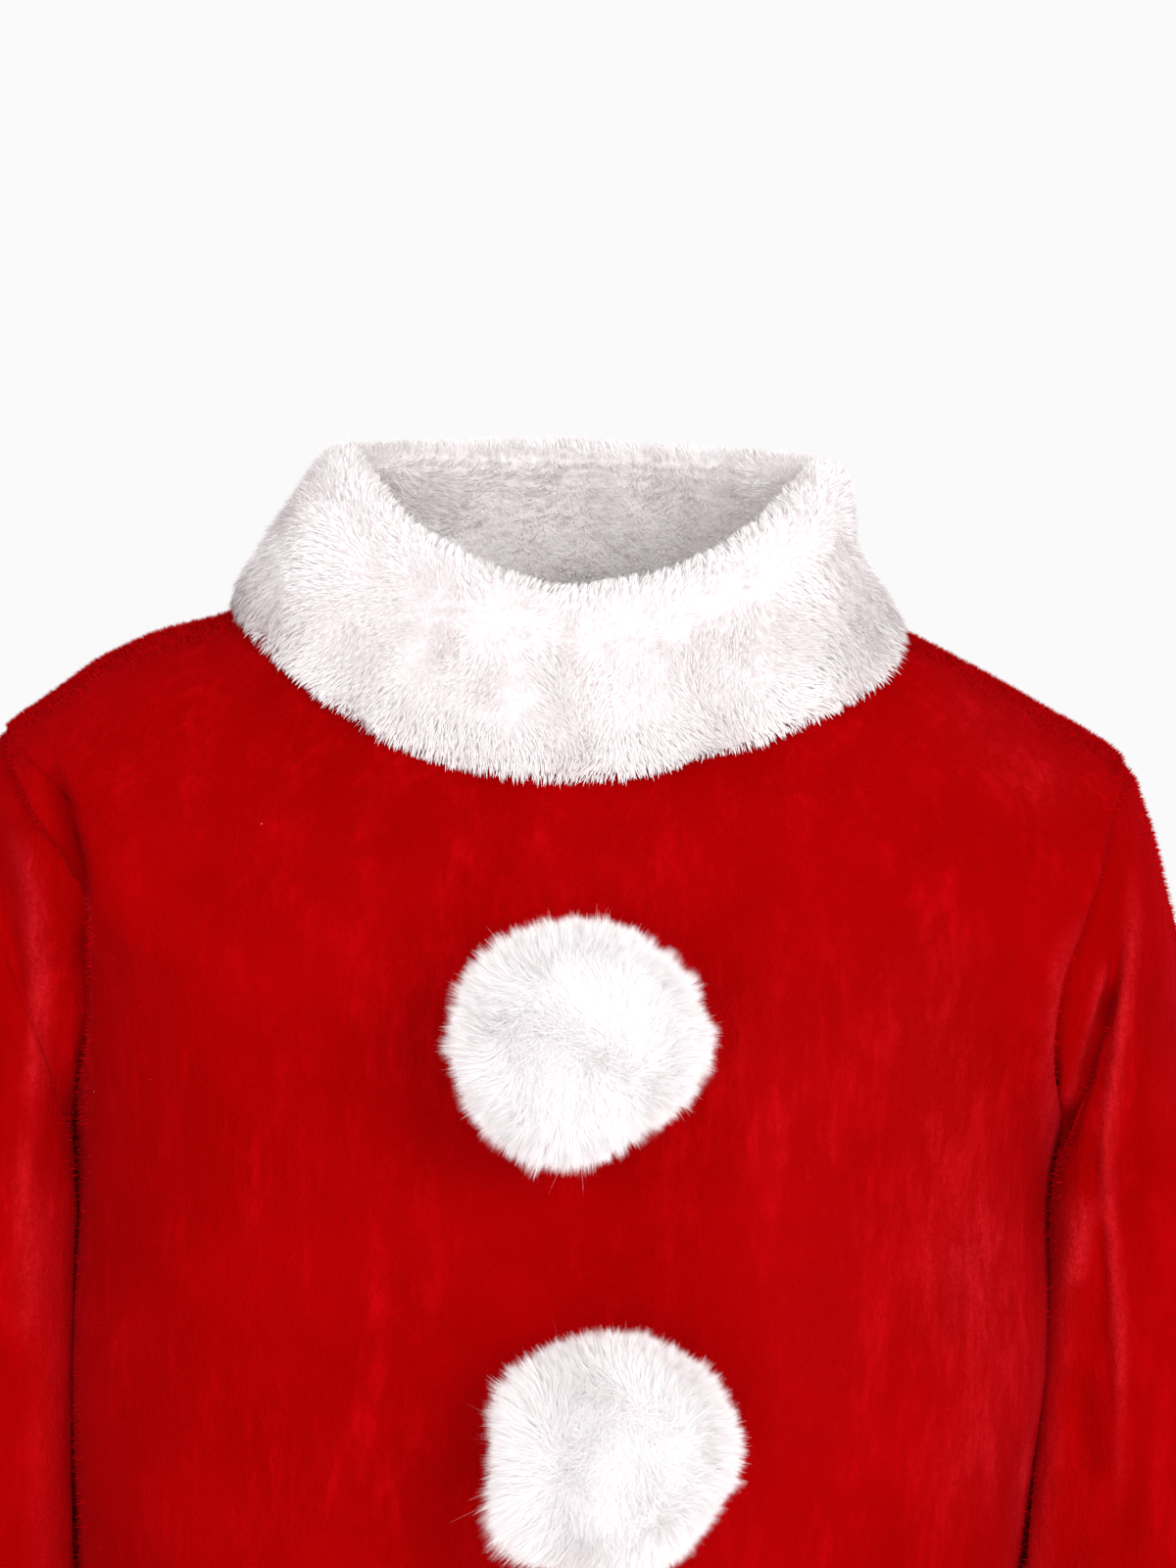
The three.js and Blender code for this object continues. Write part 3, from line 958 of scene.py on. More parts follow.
def blades(name: str, roots: np.ndarray, tips: np.ndarray, flat: np.ndarray,
           materials: Sequence[bpy.types.Material], rng: np.random.Generator) -> bpy.types.Object:
    """Joins many straight blades, one triangle each, into one piece.

    Args:
        name: the piece's name.
        roots: where they start.
        tips: where they end.
        flat: half of each one's width at its root, as a vector.
        materials: the shades, shared out at random.
        rng: the random numbers.

    Returns:
        The object.
    """
    points = np.stack([roots - flat, roots + flat, tips], axis=1).reshape(-1, 3)
    faces = np.arange(len(points)).reshape(-1, 3)
    return mesh_object(name, points, faces, materials, rng.integers(0, len(materials), len(faces)))


@dataclass(frozen=True)
class Fibre:
    """Flat leaf-shaped fibres: half width at the middle, and how far the middle stands off."""

    width: float
    bow: float = 0.15

    def build(self, name: str, roots: np.ndarray, tips: np.ndarray, up: np.ndarray,
              materials: Sequence[bpy.types.Material], rng: np.random.Generator) -> bpy.types.Object:
        """Joins many fibres into one piece, each with its flat side turned out and its middle bowed off the
        ground.

        Args:
            name: the piece's name.
            roots: where they start.
            tips: where they end.
            up: the ground's normals, which is the way that their middles bow.
            materials: the shades, shared out at random.
            rng: the random numbers.

        Returns:
            The object.
        """
        count = len(roots)
        long = tips - roots
        length = np.linalg.norm(long, axis=1, keepdims=True)
        flat = unit(np.cross(long / length, up) + rng.normal(scale=0.12, size=long.shape))
        flat = flat * self.width * rng.uniform(0.7, 1.3, (count, 1))
        half = roots + 0.5 * long + up * length * self.bow
        points = np.stack([roots, half - flat, half + flat, tips], axis=1).reshape(-1, 3)
        faces = (np.arange(count)[:, None, None] * 4 + np.array([[0, 2, 1], [1, 2, 3]])).reshape(-1, 3)
        shade = np.repeat(rng.integers(0, len(materials), count), 2)
        return mesh_object(name, points, faces, materials, shade)


def tufted(tips: np.ndarray, roots: np.ndarray, spacing: float, pull: np.ndarray, rng: np.random.Generator
           ) -> np.ndarray:
    """Draws the tips of neighbouring fibres together into tufts.

    Args:
        tips: where the fibres would end.
        roots: where they start.
        spacing: about how far apart the tufts are.
        pull: how far each tip goes to its tuft's own, from 0 to 1, for each fibre.
        rng: the random numbers.

    Returns:
        The new tips.
    """
    cell = np.floor((roots + rng.normal(scale=spacing * 0.22, size=roots.shape)) / spacing).astype(np.int64)
    cell -= cell.min(axis=0)
    wide, deep = cell[:, 0].max() + 1, cell[:, 1].max() + 1
    _, tuft = np.unique(cell[:, 0] + wide * (cell[:, 1] + deep * cell[:, 2]), return_inverse=True)
    total = np.bincount(tuft)
    middle = np.stack([np.bincount(tuft, tips[:, k]) / total for k in range(3)], axis=1)
    share = pull * rng.uniform(0.55, 1.15, len(tips))
    return tips + (middle[tuft] - tips) * share[:, None]


# -------------------------------------------------------------------------------- the velvet pieces


@dataclass(frozen=True)
class Nap:
    """The velvet's standing pile, which shows as a fine fuzz along its outlines."""

    count: int
    length: float = 1.5 * MM
    width: float = 0.15 * MM
    lean: float = 0.4
    facing: float = 0.002  # how thickly it stands where the cloth faces forward or back
    turning: tuple[float, float] = (0.15, 0.5)  # it thins out to that as the cloth faces so far that way
    upward: tuple[float, float] = (0.2, 0.6)  # and stands thicker where the cloth faces up between so much
    thicker: float = 3.0
    mess: float = 0.3
    lengths: tuple[float, float] = (0.6, 1.25)  # shares of the length, at random
    sunk: float = 0.1  # millimetres that the tufts start below the face
    seed: int = 11

    def build(self, name: str, shell: Shell, material: bpy.types.Material) -> bpy.types.Object:
        """Makes the pile as one piece of single-triangle tufts that lean down the cloth.

        Args:
            name: the piece's name.
            shell: the cloth.
            material: the pile's shade.

        Returns:
            The object.
        """
        rng = np.random.default_rng(self.seed)
        edgewise = 1 - smoothstep(np.abs(shell.normals[..., 1]), *self.turning)
        density = self.facing + (1 - self.facing) * edgewise
        density *= 1 + self.thicker * smoothstep(shell.normals[..., 2], *self.upward)
        roots = scatter(shell.outer, shell.normals, shell.closed, density, self.count, rng)
        stray = rng.normal(scale=self.mess, size=roots.points.shape)
        way = unit(roots.normals + roots.down * self.lean + stray)
        tips = roots.points + way * self.length * rng.uniform(*self.lengths, (self.count, 1))
        flat = unit(np.cross(way, roots.normals)) * self.width
        start = roots.points - roots.normals * self.sunk * MM
        return blades(name, start, tips, flat, (material,), rng)


@dataclass(frozen=True)
class Seam:
    """A sewn edge of cloth: the groove that it pulls, and the soft swell beside it."""

    groove: float = 1.3 * MM
    groove_width: float = 2.0 * MM
    swell: float = 0.5 * MM
    swell_at: float = 6.5 * MM
    swell_width: float = 4.0 * MM

    def lift(self, away: np.ndarray) -> np.ndarray:
        """The lift beside the seam.

        Args:
            away: distances from the seam, in metres.

        Returns:
            The lift, in metres.
        """
        groove = self.groove * np.exp(-((away / self.groove_width) ** 2))
        swell = self.swell * np.exp(-(((away - self.swell_at) / self.swell_width) ** 2))
        return swell - groove


@dataclass(frozen=True)
class Hem:
    """A turned-up edge: its height, the walls, and the line of hidden stitches that dimples it."""

    height: float = 20 * MM
    wall: float = 1.6 * MM
    turned: float = 3.2 * MM
    dimple: float = 0.55 * MM
    dimple_width: float = 1.3 * MM
    pitch: float = 7 * MM
    step: float = 1.5 * MM  # half of the stretch over which the doubled cloth ends
    pinched: float = 0.45  # share of the wall that is left at the very edge
    round_up: float = 2 * MM
    roll: float = 0.7 * MM
    roll_up: float = 3 * MM

    def thickness(self, up: np.ndarray) -> np.ndarray:
        """The wall, rounded off at the edge itself.

        Args:
            up: heights above the edge, in metres.

        Returns:
            The wall, in metres.
        """
        doubled = 1 - smoothstep(up, self.height - self.step, self.height + self.step)
        full = self.pinched + (1 - self.pinched) * smoothstep(up, 0, self.round_up)
        return (self.wall + (self.turned - self.wall) * doubled) * full

    def lift(self, up: np.ndarray, along: np.ndarray) -> np.ndarray:
        """The lift of the stitches and of the edge.

        Args:
            up: heights above the edge, in metres.
            along: distances along it, in metres.

        Returns:
            The lift, in metres.
        """
        line = np.exp(-(((up - self.height) / self.dimple_width) ** 2))
        stitch = 0.55 + 0.45 * np.cos(2 * math.pi * along / self.pitch)
        rolled = self.roll * (1 - smoothstep(up, 0, self.roll_up))
        return -self.dimple * line * stitch - rolled


@dataclass
class Panel:
    """The tunic's front or back: a shell on the body's rings, from one side's seams to the other's."""

    torso: Torso
    face: int
    creases: tuple[Mark, ...]
    # the streaks where highlight is painted on the velvet
    streaks: tuple[Mark, ...]
    columns: int = 150
    yoke_rows: int = 34
    armhole_rows: int = 60
    skirt_rows: int = 139
    seam_gap: float = 0.3 * MM
    tuck: tuple[float, float] = (0.6 * MM, 2.6 * MM)  # how far the back's allowances go in, and under
    turn_in: float = 0.1 * MM  # what the back's edges turn in by where no seam is sewn
    seam_end: tuple[float, float] = (0.02, 0.15)  # the allowances run out so many rows from an armhole
    crease_fade: tuple[float, float] = (-1 * MM, 3.5 * MM)  # creases fade in between so far from a seam
    wave_fade: tuple[float, float] = (2 * MM, 25 * MM)
    own_fade: tuple[float, float] = (0.0, 8 * MM)  # there the lift turns to the panel's own normals
    seam: Seam = Seam()
    hem: Hem = Hem()
    waviness: Waviness = Waviness()

    def rows(self) -> np.ndarray:
        """Fractional rows of the body, from the neckline to the hem.

        Returns:
            The rows, an odd number of them.
        """
        armhole = self.torso.armhole_row(np.linspace(0, 1, self.armhole_rows + 1))
        yoke = np.linspace(0, self.torso.shoulder, self.yoke_rows + 1)[:-1]
        skirt = np.linspace(self.torso.armpit, self.torso.hem, self.skirt_rows + 1)[1:]
        last = self.torso.hem - NEAR_EDGE
        rows = np.sort(np.concatenate([yoke, armhole, skirt, last]))
        return rows if len(rows) % 2 else rows[rows != last[0]]

    def plain(self) -> tuple[np.ndarray, np.ndarray]:
        """The grid before any crease.

        Returns:
            Its outer points, and the body's normals there.
        """
        points, ways = [], []
        for row in self.rows():
            start = self.torso.edge_angle(self.face, self.face, row)
            end = self.torso.edge_angle(-self.face, self.face, row)
            fine = np.linspace(start, end, FINE_PANEL)
            angle = start + (end - start) * even_shares(self.torso.point(fine, row), self.columns + 1)
            points.append(self.torso.point(angle, row))
            ways.append(self.torso.normal(angle, row))
        return np.array(points) + np.array([0, self.face * self.seam_gap / 2, 0]), np.array(ways)

    def tucked(self, grid: np.ndarray, ways: np.ndarray, thick: np.ndarray) -> np.ndarray:
        """Adds the back's seam allowances: a strip on each side that lies under the front.

        Args:
            grid: the back's outer points.
            ways: the body's normals there.
            thick: the wall there.

        Returns:
            The points, with one more column on each side.
        """
        rows = self.rows()
        near, far = self.seam_end
        sewn = np.maximum(1 - smoothstep(rows, self.torso.shoulder - far, self.torso.shoulder - near),
                          smoothstep(rows, self.torso.armpit + near, self.torso.armpit + far))
        strips = []
        for edge, beside in ((0, 1), (-1, -2)):
            under = unit(grid[:, edge] - grid[:, beside]) * (self.tuck[1] * sewn + self.turn_in)[:, None]
            depth = (self.tuck[0] + thick[:, edge]) * sewn + self.turn_in
            strips.append(grid[:, edge] + under - ways[:, edge] * depth[:, None])
        return np.concatenate([strips[0][:, None], grid, strips[1][:, None]], axis=1)

    def shell(self) -> Shell:
        """Makes the creased wall.

        Returns:
            The wall.
        """
        plain, ways = self.plain()
        normals = grid_normals(plain, False)
        steps = np.linalg.norm(np.diff(plain, axis=1), axis=2)
        run = np.concatenate([np.zeros((len(plain), 1)), np.cumsum(steps, axis=1)], axis=1)
        away = np.minimum(run, run[:, -1:] - run)
        up = plain[..., 2] + self.torso.rings[-1].side * -MM
        lift = total_of(self.creases, plain, normals) * MM * smoothstep(away, *self.crease_fade)
        lift += self.waviness.at(plain) * smoothstep(away, *self.wave_fade)
        lift += self.seam.lift(away) + self.hem.lift(up, run)
        # shares of painted highlight along the streaks, and crease sharpness for painted crest highlight and
        # trough shade
        painted_highlight = np.clip(total_of(self.streaks, plain, normals), 0, 1)
        fold = sharpness_of(self.creases, plain, normals)
        thick = self.hem.thickness(up)
        own = smoothstep(away, *self.own_fade)[..., None]
        outer = plain + unit(softened(normals, False) * own + ways * (1 - own)) * lift[..., None]
        if self.face > 0:
            outer = self.tucked(outer, ways, thick)
            thick, painted_highlight, fold = (np.pad(grid, ((0, 0), (1, 1)), "edge") for grid in (thick, painted_highlight, fold))
        return Shell(outer, thick, False, painted_highlight, fold)


class SleeveRing(NamedTuple):
    """A ring of a sleeve: its gap from the body, its inner and outer points, its middle, depth and power.

    press is how much wider it would be without the body that it lies against, and fuller what its power has
    more of on its inner half.
    """

    clear: float
    inner: float
    out: float
    outer: float
    mid: float
    deep: float
    square: float
    press: float
    fuller: float = 0.0


@dataclass
class Sleeve:
    """A set-in sleeve: a tube from its armhole, over the cap and down to the cuff."""

    torso: Torso
    side: int
    creases: tuple[Mark, ...]
    # the streaks where highlight is painted on the velvet
    streaks: tuple[Mark, ...]
    rings: tuple[SleeveRing, ...] = (
        SleeveRing(1.5, -139.5, 155.5, -42, 1, 42, 2.4, 3, 1.2),
        SleeveRing(1.6, -143.5, 161, -57, 2, 44.5, 2.3, 4.5, 1.0),
        SleeveRing(1.4, -150.5, 166.5, -82, 3, 47, 2.3, 6, 0.7),
        SleeveRing(1.2, -161, 172.5, -115, 4, 48, 2.3, 8.5, 0.3),
        SleeveRing(1.1, -182, 180.5, -155, 5, 48, 2.2, 12),
        SleeveRing(1.1, -225, 190, -212, 5, 46.5, 2.2, 14),
        SleeveRing(2, -285, 196, -280, 3, 44, 2.2, 10),
        SleeveRing(6, -350, 199, -350, -5, 41, 2.1, 3),
        SleeveRing(9, -440, 201, -444, -20, 36, 2.1, 0),
    )
    columns: int = 188
    cap_rows: int = 34
    arm_rows: int = 96
    tuck: tuple[float, float] = (1.8 * MM, 4.0 * MM)  # how far the allowance goes in, and under the panels
    armhole_gap: float = 0.4 * MM
    cap_end: int = 3  # the ring where the cap's rows end and the arm's begin
    first_way: float = 0.05  # the row towards which the first one is moved off the armhole
    crease_fade: tuple[float, float] = (0.0, 9 * MM)  # creases fade in between so far from the armhole
    wave_fade: tuple[float, float] = (1 * MM, 14 * MM)
    own_fade: tuple[float, float] = (0.0, 8 * MM)  # there the lift turns to the sleeve's own normals
    seam: Seam = Seam()
    hem: Hem = Hem()
    waviness: Waviness = Waviness(height=0.5 * MM, seed=8)

    def armhole(self, face: int) -> tuple[np.ndarray, np.ndarray, np.ndarray]:
        """Half of the armhole at even shares of the way down.

        Args:
            face: 1 for its half on the back, -1 for the one on the front.

        Returns:
            Its points, the body's normals, and the ways under the panel, square to the armhole's edge.
        """
        row = self.torso.armhole_row(np.linspace(0, 1, HALF_STEPS + 1))
        angle = self.torso.edge_angle(self.side, face, row)
        points, normals = self.torso.point(angle, row), self.torso.normal(angle, row)
        under = -self.side * face * np.cross(np.gradient(points, axis=0), normals)
        return points, normals, unit(under)

    def half(self, ring: Optional[SleeveRing], face: int) -> np.ndarray:
        """Half of a ring, from its outer to its inner point.

        Args:
            ring: the ring, or None for the armhole itself.
            face: 1 for its back, -1 for its front.

        Returns:
            Its points, in metres.
        """
        if ring is None:
            return self.armhole(face)[0]
        share = np.linspace(0, 1, HALF_STEPS + 1)
        reach = float(self.torso.side_at(self.side, ring.inner, 0)) + ring.clear - ring.press
        inner = np.array([self.side * reach, ring.mid, ring.inner])
        outer = np.array([self.side * ring.out, ring.mid, ring.outer])
        middle = (inner + outer) / 2
        power = 2 / (ring.square + ring.fuller * (share > 0.5))
        turn = share * np.pi
        across = np.sign(np.cos(turn)) * np.abs(np.cos(turn)) ** power
        points = middle + (outer - middle) * across[:, None]
        points[:, 1] += face * ring.deep * np.abs(np.sin(turn)) ** power
        if ring.press > 0:
            least = self.torso.side_at(self.side, points[:, 2], points[:, 1]) + ring.clear
            pressed = self.side * np.maximum(self.side * points[:, 0], least)
            points[:, 0] = np.where(share > 0.5, pressed, points[:, 0])
        return points * MM

    def whole(self, ring: Optional[SleeveRing]) -> np.ndarray:
        """A ring's points at the columns, anticlockwise seen from above.

        Args:
            ring: the ring, or None for the armhole itself.

        Returns:
            The points, in metres.
        """
        count = self.columns // 2
        halves = []
        for face in (self.side, -self.side):
            points = self.half(ring, face)
            share = np.linspace(0, 1, count + 1) if ring is None else even_shares(points, count + 1)
            place = share * (len(points) - 1)
            low = np.minimum(place.astype(int), len(points) - 2)
            halves.append(points[low] + (points[low + 1] - points[low]) * (place - low)[:, None])
        return np.concatenate([halves[0], halves[1][::-1][1:-1]])

    def round_armhole(self, which: int) -> np.ndarray:
        """One of the armhole's sets of vectors at the columns, anticlockwise seen from above.

        Args:
            which: 0 for its points, 1 for the normals, 2 for the ways under the panels.

        Returns:
            The vectors.
        """
        count = self.columns // 2
        at = np.rint(np.linspace(0, 1, count + 1) * HALF_STEPS).astype(int)
        halves = [self.armhole(face)[which][at] for face in (self.side, -self.side)]
        return np.concatenate([halves[0], halves[1][::-1][1:-1]])

    def shell(self) -> Shell:
        """Makes the creased tube.

        Returns:
            The tube.
        """
        rings = np.array([self.whole(None)] + [self.whole(ring) for ring in self.rings])
        rows = np.concatenate([
            np.linspace(0, self.cap_end, self.cap_rows + 1)[:-1],
            np.linspace(self.cap_end, len(self.rings), self.arm_rows + 1),
            len(self.rings) - NEAR_EDGE,
        ])
        plain = between(rings, np.sort(rows))
        start = between(rings, np.array([self.first_way]))[0]
        plain[0] += unit(start - plain[0]) * self.armhole_gap
        normals = grid_normals(plain, True)
        steps = np.linalg.norm(np.diff(plain, axis=0), axis=2)
        down = np.concatenate([np.zeros((1, plain.shape[1])), np.cumsum(steps, axis=0)])
        up = down[-1:] - down
        around = np.linalg.norm(np.roll(plain, -1, axis=1) - plain, axis=2).cumsum(axis=1)
        lift = total_of(self.creases, plain, normals) * MM * smoothstep(down, *self.crease_fade)
        lift += self.waviness.at(plain) * smoothstep(down, *self.wave_fade)
        lift += self.seam.lift(down) + self.hem.lift(up, around)
        # shares of painted highlight along the streaks, and crease sharpness for painted crest highlight and
        # trough shade
        painted_highlight = np.clip(total_of(self.streaks, plain, normals), 0, 1)
        fold = sharpness_of(self.creases, plain, normals)
        body_way, under = self.round_armhole(1), self.round_armhole(2)
        own = smoothstep(down, *self.own_fade)[..., None]
        outer = plain + unit(softened(normals, True) * own + body_way * (1 - own)) * lift[..., None]
        tucked = outer[0] + under * self.tuck[1] - body_way * self.tuck[0]
        thick = self.hem.thickness(up)
        return Shell(
            np.concatenate([tucked[None], outer]), np.concatenate([thick[:1], thick]), True,
            np.concatenate([painted_highlight[:1], painted_highlight]), np.concatenate([fold[:1], fold]),
        )


# -------------------------------------------------------------------------------- collar


@dataclass
class Collar:
    """The funnel collar: a folded band of plush from the neckline up, with its pile."""

    torso: Torso
    creases: tuple[Mark, ...]
    rings: tuple[Ring, ...] = (
        Ring(3, -33, 6, 86, 86, 64, 60, 2.1),
        Ring(12, -24, 15, 76, 79, 61, 58, 2.1),
        Ring(23, -14, 26, 70, 72.5, 58, 56, 2.1),
        Ring(33, -4, 36, 69, 66, 55, 54, 2.1),
        Ring(39.5, 5, 43, 68.5, 62, 52, 52, 2.1),
    )
    half: tuple[float, ...] = (5, 6.5, 7, 7, 6)
    pile: float = 3.7 * MM
    core: float = 2.0 * MM
    skirt: tuple[float, float, float, float] = (0.08, 0.17, 0.28, -0.10)  # see skirt_row
    skirt_least: float = 0.05
    seam_row: float = 0.03  # row of the body where the band's ground closes, under its edge
    foot: tuple[float, float] = (0.12, 0.35)  # rows of the band down to which its inside and its outside go
    steps: tuple[int, int] = (22, 28)  # rows of points up the inside and down the outside
    fold: tuple[float, ...] = (150, 120, 90, 60, 30)  # turns round the fold, in degrees
    reaches: tuple[float, ...] = (0.3, 0.55, 0.8, 1.0)  # shares of the way from the outside to the edge
    off_body: float = 1.2 * MM
    columns: int = 220
    fibres: int = 92000
    fibre: Fibre = Fibre(0.135 * MM, 0.16)
    uneven: Waviness = Waviness(height=0.5 * MM, longest=60 * MM, shortest=22 * MM, seed=3)
    swirl: Waviness = Waviness(height=1.0, longest=34 * MM, shortest=9 * MM, waves=10, seed=31)
    droop: Waviness = Waviness(height=1.0, longest=26 * MM, shortest=8 * MM, waves=10, seed=32)
    tuft: float = 2.7 * MM
    mess: float = 0.24
    lengths: tuple[float, float] = (0.7, 1.2)  # shares of the pile's length, at random
    sunk: float = 0.3  # millimetres that the fibres start below the ground
    seed: int = 21

    def middle(self, angle: np.ndarray, row: float) -> tuple[np.ndarray, np.ndarray, np.ndarray]:
        """The middle of the band at a row.

        Args:
            angle: turns round the collar, as in ring_point.
            row: the fractional row.

        Returns:
            The points, the ways out of the band and the ways up it.
        """
        step = SLOPE_STEP
        up = unit(ring_point(self.rings, angle, row + step) - ring_point(self.rings, angle, row - step))
        across = ring_point(self.rings, angle + step, row) - ring_point(self.rings, angle - step, row)
        return ring_point(self.rings, angle, row), unit(np.cross(across, up)), up

    def core_at(self, row: float) -> float:
        """Half the thickness of the ground at a row: what the pile leaves of the band."""
        return float(between(np.array(self.half), np.array(row))) * MM - self.pile + self.core

    def on_body(self, angle: np.ndarray, row: np.ndarray) -> np.ndarray:
        """Points a little off the body, where the pile covers the seam."""
        return self.torso.point(angle, row) + self.torso.normal(angle, row) * self.off_body

    def skirt_row(self, angle: np.ndarray) -> np.ndarray:
        """Row of the body where the band's edge lies: at the sides, then more in front.

        Args:
            angle: turns round the body, as in ring_point.

        Returns:
            The rows, which also differ at the front's left and right corners.
        """
        sides, front, left, right = self.skirt
        at_left, at_right = np.exp(-(((angle + 0.5) / 0.3) ** 2)), np.exp(-(((angle + 2.5) / 0.35) ** 2))
        corners = left * at_left + right * at_right
        rows = sides + front * smoothstep(-np.sin(angle), 0.15, 0.85) + corners
        return np.maximum(rows, self.skirt_least)

    def section(self) -> np.ndarray:
        """The band's ground: up the inside, round the fold, down the outside and back.

        Returns:
            Its points, a closed loop of rows.
        """
        angle = np.linspace(-np.pi, np.pi, self.columns, endpoint=False)
        top = len(self.rings) - 1
        rows = []
        for row in np.linspace(self.foot[0], top, self.steps[0]):
            point, out, _ = self.middle(angle, row)
            rows.append(point - out * self.core_at(row))
        point, out, up = self.middle(angle, top)
        for turn in np.radians(self.fold):
            rows.append(point + (out * math.cos(turn) + up * math.sin(turn)) * self.core_at(top))
        for row in np.linspace(top, self.foot[1], self.steps[1]):
            point, out, _ = self.middle(angle, row)
            rows.append(point + out * self.core_at(row))
        last, edge = rows[-1], self.on_body(angle, self.skirt_row(angle))
        rows += [last + (edge - last) * share for share in self.reaches]
        rows.append(self.on_body(angle, np.full(self.columns, self.seam_row)))
        return np.array(rows)

    def ground(self) -> tuple[np.ndarray, np.ndarray]:
        """The creased ground.

        Returns:
            Its points and its normals.
        """
        plain = self.section()
        normals = grid_normals(plain, True)
        lift = total_of(self.creases, plain, normals) * MM
        lift += self.uneven.at(plain)
        points = plain + normals * lift[..., None]
        return points, grid_normals(points, True)

    def build(self, finishes: Finishes) -> list[bpy.types.Object]:
        """Makes the band and its pile.

        Args:
            finishes: the finishes.

        Returns:
            The band and the pile.
        """
        points, normals = self.ground()
        rows, columns = points.shape[:2]
        at = np.arange(rows * columns).reshape(rows, columns)
        below = np.roll(at, -1, axis=0)
        faces = np.stack([at, below, np.roll(below, -1, axis=1), np.roll(at, -1, axis=1)], -1).reshape(-1, 4)
        band = mesh_object("collar_band", points.reshape(-1, 3), faces, (finishes.plush_ground,))
        return [band, self.pile_on(points[:-1], normals[:-1], finishes.plush)]

    def pile_on(self, points: np.ndarray, normals: np.ndarray, shades: Sequence[bpy.types.Material]
                ) -> bpy.types.Object:
        """Makes the pile: tufts that lie down the outside, and stand up along the fold.

        Args:
            points: the ground's points.
            normals: its normals.
            shades: the pile's shades.

        Returns:
            The pile.
        """
        rng = np.random.default_rng(self.seed)
        share = np.linspace(0, 1, len(points))[:, None] * np.ones(points.shape[1])
        past_inside, at_skirt = smoothstep(share, 0.12, 0.36), smoothstep(share, 0.86, 0.95)
        density = 0.25 + 0.75 * past_inside + 0.8 * at_skirt
        roots = scatter(points, normals, True, density, self.fibres, rng)
        where = roots.points
        swirl, droop = self.swirl.at(where), self.droop.at(where)
        aside = np.cross(roots.normals, roots.down)
        outside = np.sum(roots.normals[:, :2] * where[:, :2], axis=1) > 0
        height = self.height_share(where)
        lean = np.where(outside, np.interp(height, (0, 0.7, 0.97), (1.1, 0.95, -0.5)), 0.35)
        way = roots.normals + (lean + 0.35 * droop)[:, None] * roots.down + aside * (0.6 * swirl[:, None])
        way = unit(way + rng.normal(scale=self.mess, size=way.shape))
        length = self.pile * rng.uniform(*self.lengths, (self.fibres, 1))
        length = length * (1 + 0.25 * np.abs(lean))[:, None]
        at_fold, at_seam = smoothstep(height, 0.86, 0.98), 1 - smoothstep(height, 0.03, 0.14)
        pull = 0.42 + 0.36 * at_fold - 0.04 * at_seam
        tips = tufted(where + way * length, where, self.tuft, pull, rng)
        start = where - roots.normals * self.sunk * MM
        return self.fibre.build("collar_pile", start, tips, roots.normals, shades, rng)

    def height_share(self, points: np.ndarray) -> np.ndarray:
        """How far up the collar points are.

        Args:
            points: the points, in metres.

        Returns:
            0 at the collar's seam and 1 at its fold.
        """
        angle = np.arctan2(points[:, 1] / 60, points[:, 0] / 80)
        foot = ring_point(self.rings, angle, np.zeros(len(points)))[:, 2]
        head = ring_point(self.rings, angle, np.full(len(points), len(self.rings) - 1.0))[:, 2]
        return np.clip((points[:, 2] - foot) / (head - foot), 0, 1)


# -------------------------------------------------------------------------------- pompoms


class Swell(NamedTuple):
    """A lump or dent in a pompom's reach.

    turn is degrees anticlockwise from the wearer's left as seen from the front, off is degrees from straight
    forward, spread its half width in degrees and share how far it goes.
    """

    turn: float
    off: float
    spread: float
    share: float


